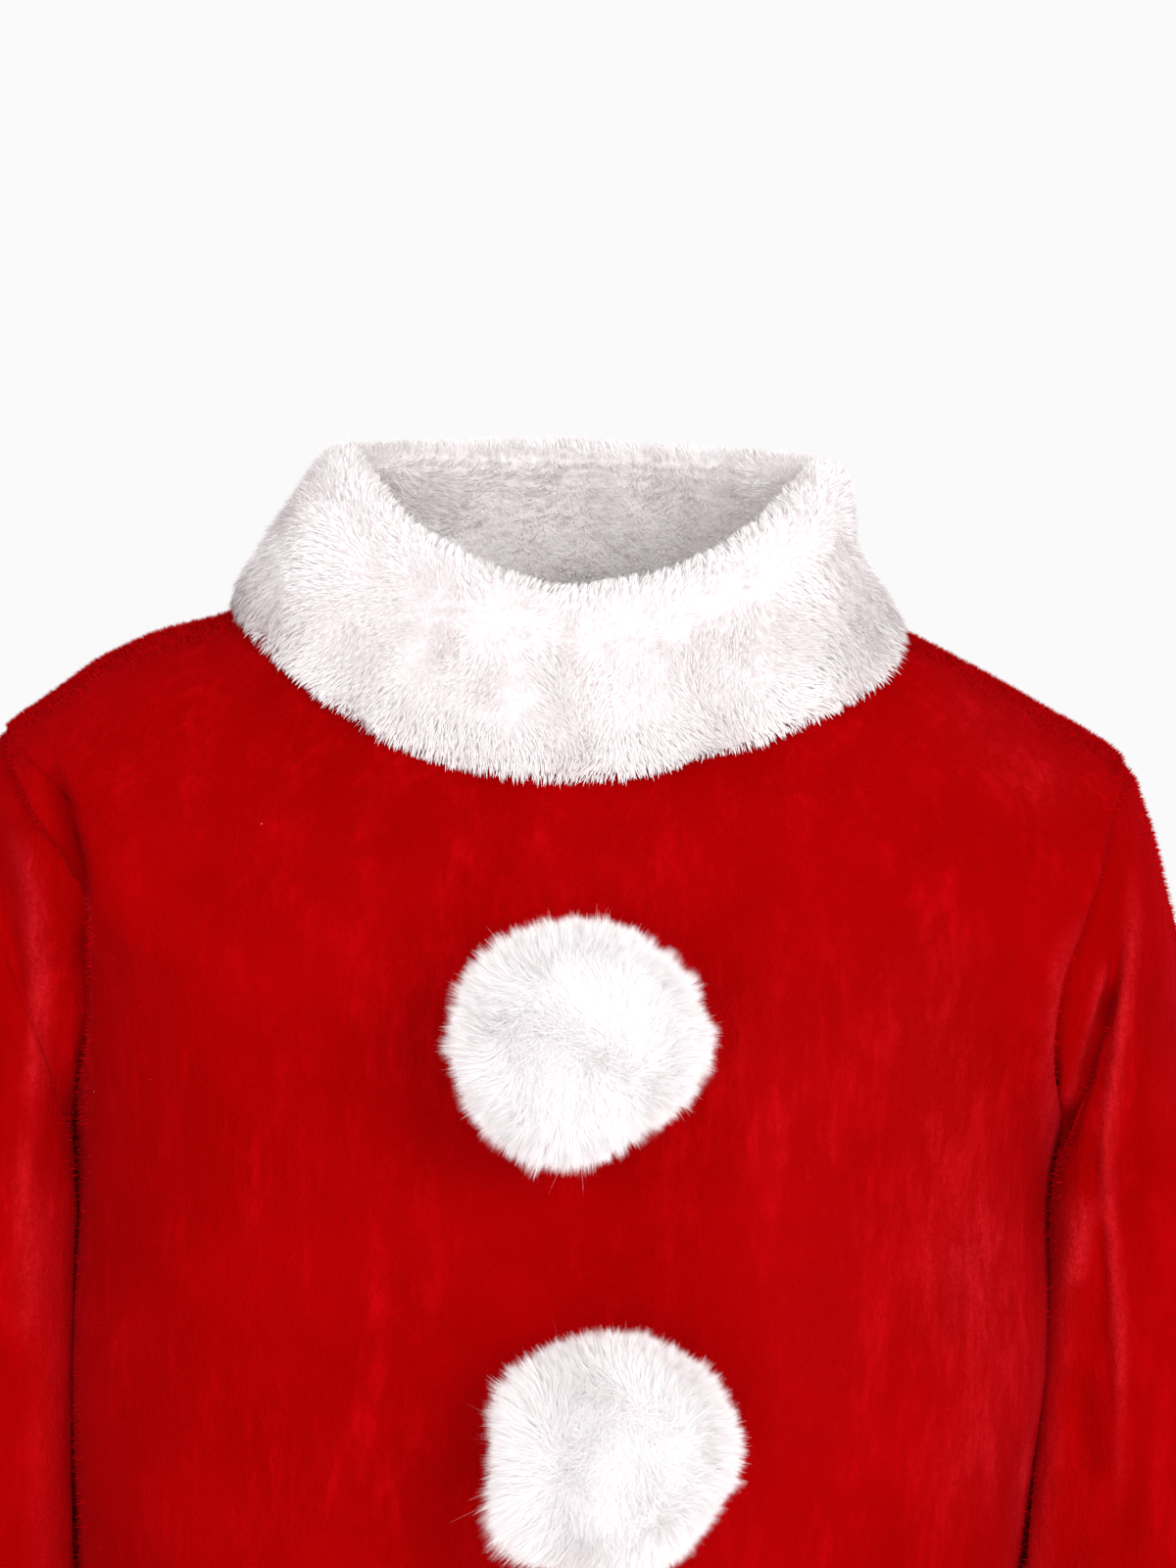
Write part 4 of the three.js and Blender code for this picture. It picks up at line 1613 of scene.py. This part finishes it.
@dataclass
class Pompom:
    """A fur pompom: a soft core on the front panel, with fur that stands out from it all round."""

    name: str
    torso: Torso
    x: float
    z: float
    wide: float
    tall: float
    deep: float
    stand: float
    swells: tuple[Swell, ...]
    seed: int
    stray_turn: float
    hairs: int = 142000
    strays: int = 6
    core: float = 0.78  # the core's reach, as a share of the fur's
    rooted: float = 0.97  # where the hairs start, as a share of the core's reach
    behind: float = 0.82  # hairs that point further back than this are turned to the front
    comb: tuple[float, float] = (0.06, 0.17)  # how far the hairs are combed, and how much more in front
    mess: tuple[float, float] = (0.07, 0.28)  # how far they stray singly, and how much more in front
    limits: tuple[float, float] = (0.82, 1.12)  # least and greatest length, as a share of the reach
    stray_limits: tuple[float, float] = (1.1, 1.26)
    tuft: float = 1.35 * MM
    pull: float = 0.78
    width: float = 0.1 * MM
    stray_width: float = 0.35
    off_panel: float = 0.8 * MM
    patch: float = 60 * MM  # half the width of the panel's part that is measured behind it

    def panel_depth(self, x: np.ndarray, z: np.ndarray) -> np.ndarray:
        """The front panel's y, on a smooth patch fitted to its own points near the pompom.

        Args:
            x: how far left, in metres.
            z: how high, in metres.

        Returns:
            The depths, in metres.
        """
        angle, row = np.meshgrid(np.linspace(-math.pi, 0, 181), np.linspace(0, self.torso.waist + 1, 181))
        grid = self.torso.point(angle, row).reshape(-1, 3)
        off = np.abs(grid[:, ::2] - np.array([self.x, self.z]) * MM)
        grid = grid[(off < self.patch).all(axis=1)]
        terms = self.terms(grid[:, 0] - self.x * MM, grid[:, 2] - self.z * MM)
        fit, *_ = np.linalg.lstsq(terms, grid[:, 1], rcond=None)
        return self.terms(x - self.x * MM, z - self.z * MM) @ fit

    @staticmethod
    def terms(x: np.ndarray, z: np.ndarray) -> np.ndarray:
        """The terms of a smooth patch of cloth."""
        return np.stack([np.ones_like(x), x, z, x * x, x * z, z * z, x**4, z**3], axis=-1)

    def reach(self, way: np.ndarray) -> np.ndarray:
        """How far the fur reaches from the middle.

        Args:
            way: unit ways.

        Returns:
            The reach, in metres.
        """
        size = np.array([self.wide, self.deep, self.tall]) * MM
        plain = 1 / np.linalg.norm(way / size, axis=1)
        share = np.ones(len(way))
        for swell in self.swells:
            turn, off = math.radians(swell.turn), math.radians(swell.off)
            sideways = math.sin(off)
            towards = np.array([sideways * math.cos(turn), -math.cos(off), sideways * math.sin(turn)])
            angle = np.degrees(np.arccos(np.clip(way @ towards, -1, 1)))
            share += swell.share * np.exp(-((angle / swell.spread) ** 2))
        return plain * share

    def middle(self) -> np.ndarray:
        """The pompom's middle."""
        depth = self.panel_depth(np.array([self.x * MM]), np.array([self.z * MM]))[0]
        return np.array([self.x * MM, depth - self.stand * MM, self.z * MM])

    def build(self, finishes: Finishes) -> list[bpy.types.Object]:
        """Makes the core and its fur.

        Args:
            finishes: the finishes.

        Returns:
            The core and the fur.
        """
        rng = np.random.default_rng(self.seed)
        middle = self.middle()
        core = self.core_ball(middle, finishes.fur_ground)
        way = unit(rng.normal(size=(self.hairs, 3)))
        way[:, 1] = np.where(way[:, 1] > self.behind, -way[:, 1], way[:, 1])
        way[:self.strays] = self.stray_ways(rng)
        roots = middle + way * self.reach(way)[:, None] * self.core * self.rooted
        stir = Waviness(height=1.0, longest=30 * MM, shortest=9 * MM, waves=10, seed=self.seed + 40)
        turned = np.stack([stir.at(roots + shift) for shift in (0.0, 0.1, 0.2)], axis=1)
        combed = turned - way * np.sum(turned * way, axis=1, keepdims=True)
        facing = smoothstep(-way[:, 1:2], 0.3, 0.9)
        comb, mess = (least + more * facing for least, more in (self.comb, self.mess))
        aim = unit(way + combed * comb + rng.normal(size=way.shape) * mess)
        ragged = Waviness(height=0.06, longest=4.2 * MM, shortest=1.6 * MM, waves=40, seed=self.seed + 60)
        share = 0.925 + 0.15 * rng.beta(1.2, 2.2, self.hairs) + ragged.at(roots)
        share = np.clip(share, *self.limits)
        share[:self.strays] = rng.uniform(*self.stray_limits, self.strays)
        tips = middle + aim * (self.reach(aim) * share)[:, None]
        few = np.arange(self.hairs) < self.strays
        tips = tufted(tips, roots, self.tuft, np.where(few, 0.0, self.pull), rng)
        wide = self.width * rng.uniform(0.6, 1.3, self.hairs) * np.where(few, self.stray_width, 1.0)
        flat = unit(np.cross(way, rng.normal(size=way.shape))) * wide[:, None]
        fur = blades(f"{self.name}_fur", self.kept_off(roots), self.kept_off(tips), flat, finishes.fur, rng)
        return [core, fur]

    def stray_ways(self, rng: np.random.Generator) -> np.ndarray:
        """The ways of the few long hairs that stand out to one side.

        Args:
            rng: the random numbers.

        Returns:
            The ways.
        """
        turn = np.radians(self.stray_turn) + rng.normal(scale=0.45, size=self.strays)
        forward = rng.uniform(-0.1, 0.5, self.strays)
        return unit(np.stack([np.cos(turn), -forward, np.sin(turn)], axis=1))

    def kept_off(self, points: np.ndarray) -> np.ndarray:
        """Moves points that are behind the front panel's face out in front of it.

        Args:
            points: the points.

        Returns:
            The new points.
        """
        points = points.copy()
        limit = self.panel_depth(points[:, 0], points[:, 2]) - self.off_panel
        points[:, 1] = np.minimum(points[:, 1], limit)
        return points

    def core_ball(self, middle: np.ndarray, material: bpy.types.Material) -> bpy.types.Object:
        """Makes the core, under the fur: a lumpy ball, flattened on the panel.

        Args:
            middle: its middle.
            material: its shade.

        Returns:
            The core.
        """
        around, down, pole = 64, 40, 0.03
        turns = np.linspace(0, 2 * np.pi, around, endpoint=False)
        turn, rise = np.meshgrid(turns, np.linspace(pole, np.pi - pole, down))
        way = np.stack([np.sin(rise) * np.cos(turn), np.sin(rise) * np.sin(turn), np.cos(rise)], -1)
        way = way.reshape(-1, 3)
        points = self.kept_off(middle + way * self.reach(way)[:, None] * self.core)
        at = np.arange(len(points)).reshape(down, around)
        at = np.concatenate([at, at[:, :1]], axis=1)
        first, last = at[0], at[-1]
        head, foot = len(points), len(points) + 1
        ends = [points[first[:-1]].mean(0)[None], points[last[:-1]].mean(0)[None]]
        points = np.concatenate([points, *ends])
        caps = [
            np.stack([np.full(around, head), first[:-1], first[1:]], -1),
            np.stack([np.full(around, foot), last[1:], last[:-1]], -1),
        ]
        faces = np.concatenate([Shell.quads(at), *caps])
        return mesh_object(f"{self.name}_core", points, faces, (material,))


# -------------------------------------------------------------------------------- where the marks go

# creases lift the cloth, and their sharpness also paints highlight on crests and shade in troughs
FRONT_CREASES = (
    Mark(Side.FRONT, ((-136.5, -33), (-133.5, -42.5), (-130.8, -48.2), (-127.6, -57.4), (-125.6, -65.4),
                      (-124.4, -74.6), (-124, -88)), -2.6, 2.6, 0.3, 1.9),
    Mark(Side.FRONT, ((-144, -34), (-138.5, -46), (-131.5, -62)), 1.6, 5.0),
    Mark(Side.FRONT, ((-122, -34), (-116, -52), (-114, -76), (-115, -104)), 1.3, 8.0),
    Mark(Side.FRONT, ((141.5, -61), (137.4, -72.7), (133.8, -80.1), (131.4, -93.4), (130.7, -105.2),
                      (131.7, -118.5), (133.2, -131.7), (133.6, -150)), 1.4, 2.4, 0.25, 2.0),
    Mark(Side.FRONT, ((122, -44), (116, -72), (112, -104), (110, -128)), -1.2, 11.0),
    Mark(Side.FRONT, ((118, -150), (108, -172), (92, -190)), -1.3, 9.0),
    Mark(Side.FRONT, ((-112, -165), (-84, -171), (-50, -170)), 0.8, 9.0),
    Mark(Side.FRONT, ((-118, -230), (-104, -258), (-96, -300), (-98, -350)), -1.8, 11.0),
    Mark(Side.FRONT, ((92, -250), (84, -290), (88, -340), (94, -390)), 1.6, 11.0),
    Mark(Side.FRONT, ((-30, -300), (-34, -350), (-30, -410), (-34, -460)), -1.6, 13.0),
    Mark(Side.FRONT, ((44, -330), (40, -380), (46, -440)), -1.4, 11.0),
)
BACK_CREASES = (
    Mark(Side.BACK, ((-132, -40), (-126, -60), (-123, -84), (-124, -112)), -3.6, 4.5),
    Mark(Side.BACK, ((133, -44), (128, -66), (125, -92), (127, -120)), -3.1, 5.0),
    Mark(Side.BACK, ((-104, -56), (-92, -92), (-78, -120)), -2.1, 9.0),
    Mark(Side.BACK, ((100, -62), (86, -100), (74, -134)), -1.8, 10.0),
    Mark(Side.BACK, ((-44, -190), (-36, -236), (-42, -290), (-38, -340)), -3.1, 10.0),
    Mark(Side.BACK, ((30, -210), (38, -262), (32, -318)), -2.7, 9.0),
    Mark(Side.BACK, ((-6, -230), (-2, -280), (-8, -336), (-4, -400)), 2.4, 10.0),
    Mark(Side.BACK, ((84, -280), (92, -340), (86, -400), (92, -452)), -2.7, 12.0),
    Mark(Side.BACK, ((-92, -300), (-86, -352), (-94, -410), (-90, -458)), 2.7, 12.0),
    Mark(Side.BACK, ((-60, -232), (-20, -240), (22, -236), (58, -226)), -1.7, 8.0),
)
SIDE_CREASES = (
    Mark(Side.LEFT, ((-32, -108), (-30, -145), (-30, -185), (-32, -225)), 1.3, 13.0),
    Mark(Side.TOP, ((-90, 0), (-116, 0), (-144, 0)), 3.5, 32.0, 0.42),
    Mark(Side.LEFT, ((-20, -250), (-26, -300), (-20, -360)), -1.8, 10.0),
    Mark(Side.LEFT, ((30, -270), (24, -330), (30, -400)), 1.7, 11.0),
    Mark(Side.RIGHT, ((-28, -240), (-20, -300), (-26, -372)), 1.7, 10.0),
    Mark(Side.RIGHT, ((24, -262), (30, -320), (22, -380)), -1.8, 11.0),
)
# streaks of painted highlight and sheen along the front's crests and outlines
FRONT_HIGHLIGHT_STREAKS = (
    Mark(Side.FRONT, ((138, -68), (132.5, -82), (130.6, -104), (131.6, -120), (133, -154), (131.5, -181),
                      (129.5, -207), (126.5, -236), (124, -262)), 0.6, 2.6, 0.15),
    Mark(Side.FRONT, ((108, -128), (114, -164), (118, -190), (115, -216), (112, -244)), 0.5, 13.0),
    Mark(Side.FRONT, ((92, -60), (98, -96), (106, -140), (96, -196)), 0.28, 16.0),
    Mark(Side.FRONT, ((94, -12), (111, -24), (127, -37), (143, -42)), 0.3, 9.0),
    Mark(Side.FRONT, ((70, -60), (62, -110), (74, -170), (68, -230)), 0.14, 20.0),
    Mark(Side.FRONT, ((-123, -80), (-124.5, -120), (-126, -170), (-126, -220)), 0.25, 2.5, 0.15),
)
LEFT_SLEEVE_CREASES = (
    Mark(Side.FRONT, ((150.2, -46), (150.4, -58.5), (150.7, -74.5), (150.1, -92.1), (148.6, -106.7),
                      (147.3, -118.5), (146.6, -130.2), (146.8, -140.5), (148.1, -152.2), (149.4, -162.4),
                      (150.5, -171.2), (152.5, -200), (153.5, -235)), 2.4, 3.6, 0.18, 0.6),
    Mark(Side.FRONT, ((158.5, -66), (159, -100), (157, -130), (156, -156), (159, -190)), -1.6, 5.5),
    Mark(Side.FRONT, ((143.9, -80), (143, -92.4), (141.7, -99.8), (140.5, -105.7), (138.5, -113.1),
                      (137.6, -118), (135.9, -123.4), (134.6, -129)), 2.0, 2.6, 0.2),
    Mark(Side.FRONT, ((147.2, -86), (145.2, -95.3), (141.9, -105.7), (140.3, -113), (138.7, -118.9),
                      (136.7, -124.8), (135.5, -130.7), (134.2, -138.1)), -2.6, 2.2, 0.2, 1.3),
    Mark(Side.FRONT, ((143, -144), (141.7, -157), (140.9, -164.4), (139.7, -173)), 1.6, 2.6, 0.25),
    Mark(Side.FRONT, ((138.5, -136), (138, -160), (137, -190), (135.5, -220), (133, -250),
                      (131, -290)), 2.2, 4.0, 0.12),
    Mark(Side.FRONT, ((139, -190), (143, -206), (146, -226)), -1.6, 4.5),
    Mark(Side.FRONT, ((154.6, -186), (155.4, -220), (157, -250)), -1.8, 5.0),
    Mark(Side.FRONT, ((172, -120), (176, -160), (178, -204)), 1.5, 6.0),
    Mark(Side.FRONT, ((158, -252), (170, -262), (184, -264)), -1.8, 4.5),
    Mark(Side.FRONT, ((156, -276), (168, -282), (182, -280)), -2.2, 4.5),
    Mark(Side.FRONT, ((158, -294), (172, -304), (188, -306)), 1.8, 5.0),
    Mark(Side.FRONT, ((168, -330), (172, -370), (170, -412)), -1.2, 6.0),
    Mark(Side.LEFT, ((-16, -60), (-10, -104), (-16, -160)), 2.0, 7.0),
    Mark(Side.LEFT, ((18, -74), (24, -126), (16, -182)), -2.2, 7.0),
    Mark(Side.LEFT, ((-6, -190), (2, -240), (-6, -300)), 1.6, 8.0),
    Mark(Side.LEFT, ((-26, -262), (-8, -272), (14, -268)), -1.5, 5.0),
    Mark(Side.LEFT, ((-30, -300), (-16, -352), (-26, -410)), 1.4, 7.0),
    Mark(Side.BACK, ((150, -70), (152, -110), (148, -150), (152, -196)), 2.3, 5.0),
    Mark(Side.BACK, ((160, -84), (162, -130), (158, -176)), -2.0, 5.0),
    Mark(Side.BACK, ((142, -100), (140, -130), (138, -160)), -2.2, 4.0),
    Mark(Side.BACK, ((158, -250), (172, -268), (184, -272)), -1.8, 5.0),
    Mark(Side.BACK, ((160, -290), (170, -340), (168, -400)), 1.5, 7.0),
)
RIGHT_SLEEVE_CREASES = (
    Mark(Side.FRONT, ((-146.5, -42.6), (-142.7, -58.6), (-138.1, -76.9), (-136.1, -95.3), (-136.4, -113),
                      (-137.5, -132), (-138.5, -150), (-138.3, -176), (-140, -204)), 1.7, 4.5, 0.2),
    Mark(Side.FRONT, ((-130.5, -140), (-131.5, -165), (-132, -190), (-132.5, -220), (-132, -255),
                      (-131, -300)), 2.8, 6.5, 0.15),
    Mark(Side.FRONT, ((-150, -84), (-150, -116), (-152, -156), (-150, -196)), -1.8, 6.0),
    Mark(Side.FRONT, ((-162, -96), (-166, -136), (-170, -186)), 1.6, 6.0),
    Mark(Side.FRONT, ((-150, -216), (-156, -250), (-154, -292)), 1.6, 6.0),
    Mark(Side.FRONT, ((-156, -258), (-168, -268), (-184, -272)), -2.0, 4.5),
    Mark(Side.FRONT, ((-158, -284), (-170, -294), (-186, -294)), -1.6, 4.5),
    Mark(Side.FRONT, ((-160, -306), (-174, -312), (-188, -310)), 1.6, 5.0),
    Mark(Side.FRONT, ((-172, -336), (-176, -376), (-172, -418)), -1.2, 6.0),
    Mark(Side.RIGHT, ((-14, -62), (-20, -110), (-12, -168)), 2.0, 7.0),
    Mark(Side.RIGHT, ((16, -70), (20, -120), (26, -176)), -2.0, 7.0),
    Mark(Side.RIGHT, ((0, -186), (-8, -240), (2, -296)), -1.5, 8.0),
    Mark(Side.RIGHT, ((-24, -270), (-4, -282), (16, -276)), 1.5, 5.0),
    Mark(Side.RIGHT, ((-20, -316), (-32, -360), (-24, -414)), 1.3, 7.0),
    Mark(Side.BACK, ((-148, -66), (-152, -108), (-146, -150), (-150, -200)), 2.2, 5.0),
    Mark(Side.BACK, ((-160, -90), (-158, -134), (-162, -180)), -2.0, 5.0),
    Mark(Side.BACK, ((-156, -246), (-170, -260), (-184, -262)), -1.8, 5.0),
    Mark(Side.BACK, ((-164, -296), (-170, -346), (-166, -402)), 1.4, 7.0),
)
# streaks of painted highlight along the left sleeve's crests
LEFT_SLEEVE_HIGHLIGHT_STREAKS = (
    Mark(Side.FRONT, ((150.2, -54), (150.5, -74.5), (149.9, -92.1), (148.4, -106.7), (147.1, -118.5),
                      (146.4, -130.2), (146.6, -140.5), (147.9, -152.2), (149.2, -162.4), (150.3, -171.2),
                      (152.3, -200), (153.3, -238)), 0.6, 1.5, 0.12),
    Mark(Side.FRONT, ((143.4, -84), (142.7, -92.4), (141.4, -99.8), (140.2, -105.7), (138.2, -113.1),
                      (136, -122), (134.6, -128)), 0.6, 1.4, 0.15),
    Mark(Side.FRONT, ((142.6, -148), (141.4, -157), (140.6, -164.4), (139.4, -172)), 0.5, 1.5, 0.2),
    Mark(Side.FRONT, ((164, -60), (170, -90), (176, -130)), 0.35, 5.0),
    Mark(Side.FRONT, ((162, -80), (164, -110), (166, -140)), 0.25, 5.0),
    Mark(Side.LEFT, ((-16, -60), (-10, -104), (-16, -160)), 0.35, 4.0),
    Mark(Side.BACK, ((150, -70), (152, -110), (148, -150), (152, -196)), 0.4, 3.0),
)
# streaks of painted highlight along the right sleeve's crests
RIGHT_SLEEVE_HIGHLIGHT_STREAKS = (
    Mark(Side.FRONT, ((-144.4, -55), (-140.6, -64), (-136.9, -78), (-135.8, -91), (-137, -113),
                      (-138.3, -131)), 0.75, 2.8, 0.12),
    Mark(Side.FRONT, ((-139.6, -134), (-140, -147), (-138.3, -173), (-138.8, -196)), 0.4, 2.6, 0.2),
    Mark(Side.RIGHT, ((-14, -62), (-20, -110), (-12, -168)), 0.35, 4.0),
    Mark(Side.BACK, ((-148, -66), (-152, -108), (-146, -150), (-150, -200)), 0.4, 3.0),
)
COLLAR_CREASES = (
    Mark(Side.FRONT, ((-56, 28), (-45, 11), (-36, -1), (-23, -12), (-10, -18)), -2.3, 6.5, 0.2),
    Mark(Side.FRONT, ((-38, 26), (-27, 11), (-14, 0), (0, -6)), 1.5, 7.0),
    Mark(Side.FRONT, ((-74, 18), (-66, 4), (-56, -6)), 1.4, 7.0),
    Mark(Side.FRONT, ((38, -22), (62, -9), (84, 0)), 1.4, 6.0),
    Mark(Side.FRONT, ((34, -6), (54, 4), (70, 16)), -1.5, 7.0),
    Mark(Side.BACK, ((-50, 36), (-40, 22), (-44, 8)), -1.8, 7.0),
    Mark(Side.BACK, ((30, 38), (40, 24), (34, 10)), -1.8, 7.0),
)
POM_SWELLS = {
    "pom_upper": (
        Swell(307, 78, 26, -0.17), Swell(335, 85, 14, -0.05), Swell(245, 85, 20, 0.05),
        Swell(140, 80, 25, 0.03), Swell(52, 80, 20, -0.05), Swell(0, 40, 25, 0.03),
    ),
    "pom_lower": (
        Swell(150, 82, 18, 0.11), Swell(218, 82, 22, 0.20), Swell(35, 82, 18, -0.02),
        Swell(330, 84, 26, -0.12), Swell(184, 84, 14, -0.06), Swell(60, 84, 10, -0.05),
        Swell(225, 45, 16, -0.07), Swell(200, 25, 12, -0.04), Swell(70, 84, 25, -0.03),
    ),
}


# -------------------------------------------------------------------------------- the tunic


@dataclass
class Tunic:
    """The whole garment."""

    finishes: Finishes = field(default_factory=Finishes)
    torso: Torso = Torso()

    def panels(self) -> list[bpy.types.Object]:
        """Makes the front and the back, with their nap.

        Returns:
            The pieces.
        """
        made = []
        for name, face, creases, streaks in (
            ("front", -1, FRONT_CREASES + SIDE_CREASES, FRONT_HIGHLIGHT_STREAKS),
            ("back", 1, BACK_CREASES + SIDE_CREASES, ()),
        ):
            shell = Panel(self.torso, face, creases, streaks).shell()
            cloth = shell.build(f"{name}_velvet", self.finishes.velvet, self.finishes.backing)
            nap = Nap(42000, seed=11 + face).build(f"{name}_nap", shell, self.finishes.nap)
            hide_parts(name)
            made += [cloth, nap]
        return made

    def sleeves(self) -> list[bpy.types.Object]:
        """Makes both sleeves, with their nap.

        Returns:
            The pieces.
        """
        made = []
        for name, side, creases, streaks in (
            ("sleeve_left", 1, LEFT_SLEEVE_CREASES, LEFT_SLEEVE_HIGHLIGHT_STREAKS),
            ("sleeve_right", -1, RIGHT_SLEEVE_CREASES, RIGHT_SLEEVE_HIGHLIGHT_STREAKS),
        ):
            shell = Sleeve(self.torso, side, creases, streaks).shell()
            cloth = shell.build(f"{name}_velvet", self.finishes.velvet, self.finishes.backing)
            nap = Nap(27000, seed=15 + side).build(f"{name}_nap", shell, self.finishes.nap)
            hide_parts(name)
            made += [cloth, nap]
        return made

    def collar(self) -> list[bpy.types.Object]:
        """Makes the collar.

        Returns:
            The band and its pile.
        """
        band, pile = Collar(self.torso, COLLAR_CREASES).build(self.finishes)
        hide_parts("collar")
        return [band, pile]

    def pompoms(self) -> list[bpy.types.Object]:
        """Makes both pompoms.

        Returns:
            The cores and their fur.
        """
        made = []
        for name, x, z, wide, tall, deep, seed, stray_turn in (
            ("pom_upper", 7, -103, 34.5, 32.5, 31, 51, 295),
            ("pom_lower", 19, -207, 33.5, 32.5, 30.5, 52, 135),
        ):
            pom = Pompom(name, self.torso, x, z, wide, tall, deep, 25, POM_SWELLS[name], seed, stray_turn)
            core, fur = pom.build(self.finishes)
            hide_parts(name)
            made += [core, fur]
        return made


# -------------------------------------------------------------------------------- the stage


class Lamp(NamedTuple):
    """A soft square light: its name, its place and width in metres, and its power in watts."""

    name: str
    place: tuple[float, float, float]
    size: float
    power: float


@dataclass(frozen=True)
class Studio:
    """The floor, the light and the camera. Sizes are in millimetres where nothing else is said."""

    aim: tuple[float, float, float] = (7.0, 0.0, -43.3)
    distance: float = 1600.0
    height_seen: float = 424.0
    rise: float = 3.0
    roll: float = 1.6
    sensor: float = 36.0
    far: float = 20.0  # the camera sees so far, in metres
    floor_at: float = -760.0
    floor_reach: float = 2600.0
    floor_corners: int = 96
    paper: tuple[Shade, Shade] = (Shade(0.80, 0.79, 0.80), Shade(0.84, 0.83, 0.84))
    paper_grain: Grain = Grain(3, 2, 0.5)
    paper_roughness: float = 0.9
    surround: Shade = Shade(0.965, 0.955, 0.965)
    lit: tuple[float, float, float] = (0.0, 0.0, -0.15)  # where the lamps point, in metres
    lamps: tuple[Lamp, ...] = (
        Lamp("key", (1.25, -2.2, 0.6), 1.2, 38),
        Lamp("fill", (-0.75, -2.3, -0.1), 1.6, 20),
        Lamp("behind", (0.3, 1.9, 1.2), 1.6, 19),
    )
    bounces: int = 8

    def camera(self) -> None:
        """Places the camera in front, a little above, and turned a little."""
        rise, roll = math.radians(self.rise), math.radians(self.roll)
        ahead = Vector((0, math.cos(rise), -math.sin(rise)))
        right = Vector((1, 0, 0))
        up = right.cross(ahead)
        data = bpy.data.cameras.new("camera")
        data.sensor_fit = "VERTICAL"
        data.sensor_height = self.sensor
        data.lens = self.sensor * self.distance / self.height_seen
        data.clip_end = self.far
        made = bpy.data.objects.new("camera", data)
        cos, sin = math.cos(roll), math.sin(roll)
        axes = (right * cos + up * sin, up * cos - right * sin, -ahead)
        place = (Vector(self.aim) - ahead * self.distance) * MM
        made.matrix_world = Matrix.Translation(place) @ Matrix(axes).transposed().to_4x4()
        bpy.context.scene.collection.objects.link(made)
        bpy.context.scene.camera = made

    def floor(self) -> None:
        """Lays a pale round floor, well below the tunic."""
        turn = np.linspace(0, 2 * np.pi, self.floor_corners, endpoint=False)
        ring = np.stack([np.cos(turn), np.sin(turn)], -1) * self.floor_reach
        points = [(x * MM, y * MM, self.floor_at * MM) for x, y in ring]
        mesh = bpy.data.meshes.new("floor")
        mesh.from_pydata(points, [], [list(range(self.floor_corners))])
        made = bpy.data.objects.new("floor", mesh)
        nodes = Nodes("floor_paper")
        shade = nodes.noise(nodes.place((1, 1, 1)), self.paper_grain)
        nodes.join(nodes.blend(shade, *self.paper), nodes.shader.inputs["Base Color"])
        nodes.shader.inputs["Roughness"].default_value = self.paper_roughness
        mesh.materials.append(nodes.material)
        bpy.context.scene.collection.objects.link(made)

    def light(self, lamp: Lamp) -> None:
        """Hangs one soft square light that faces the tunic.

        Args:
            lamp: the light.
        """
        data = bpy.data.lights.new(lamp.name, "AREA")
        data.size = lamp.size
        data.energy = lamp.power
        made = bpy.data.objects.new(lamp.name, data)
        made.location = lamp.place
        way = Vector(self.lit) - Vector(lamp.place)
        made.rotation_euler = way.to_track_quat("-Z", "Y").to_euler()
        bpy.context.scene.collection.objects.link(made)

    def world(self) -> None:
        """A pale even surround."""
        world = bpy.data.worlds.new("surround")
        world.use_nodes = True
        back = world.node_tree.nodes["Background"]
        back.inputs["Color"].default_value = self.surround.rgba()
        back.inputs["Strength"].default_value = 1.0
        bpy.context.scene.world = world

    def build(self) -> None:
        """Sets the whole stage."""
        self.camera()
        self.floor()
        self.world()
        for lamp in self.lamps:
            self.light(lamp)
        bpy.context.scene.view_settings.view_transform = "Standard"
        bpy.context.scene.cycles.diffuse_bounces = self.bounces


def main() -> None:
    """Builds the stage and the tunic, and reports each piece."""
    Studio().build()
    tunic = Tunic()
    for slot, pieces in (
        ("velvet", tunic.panels() + tunic.sleeves()),
        ("plush", tunic.collar()),
        ("fur", tunic.pompoms()),
    ):
        for piece in pieces:
            LOG.info("%s: %s, %d faces", slot, piece.name, len(piece.data.polygons))


if __name__ == "__main__":
    main()
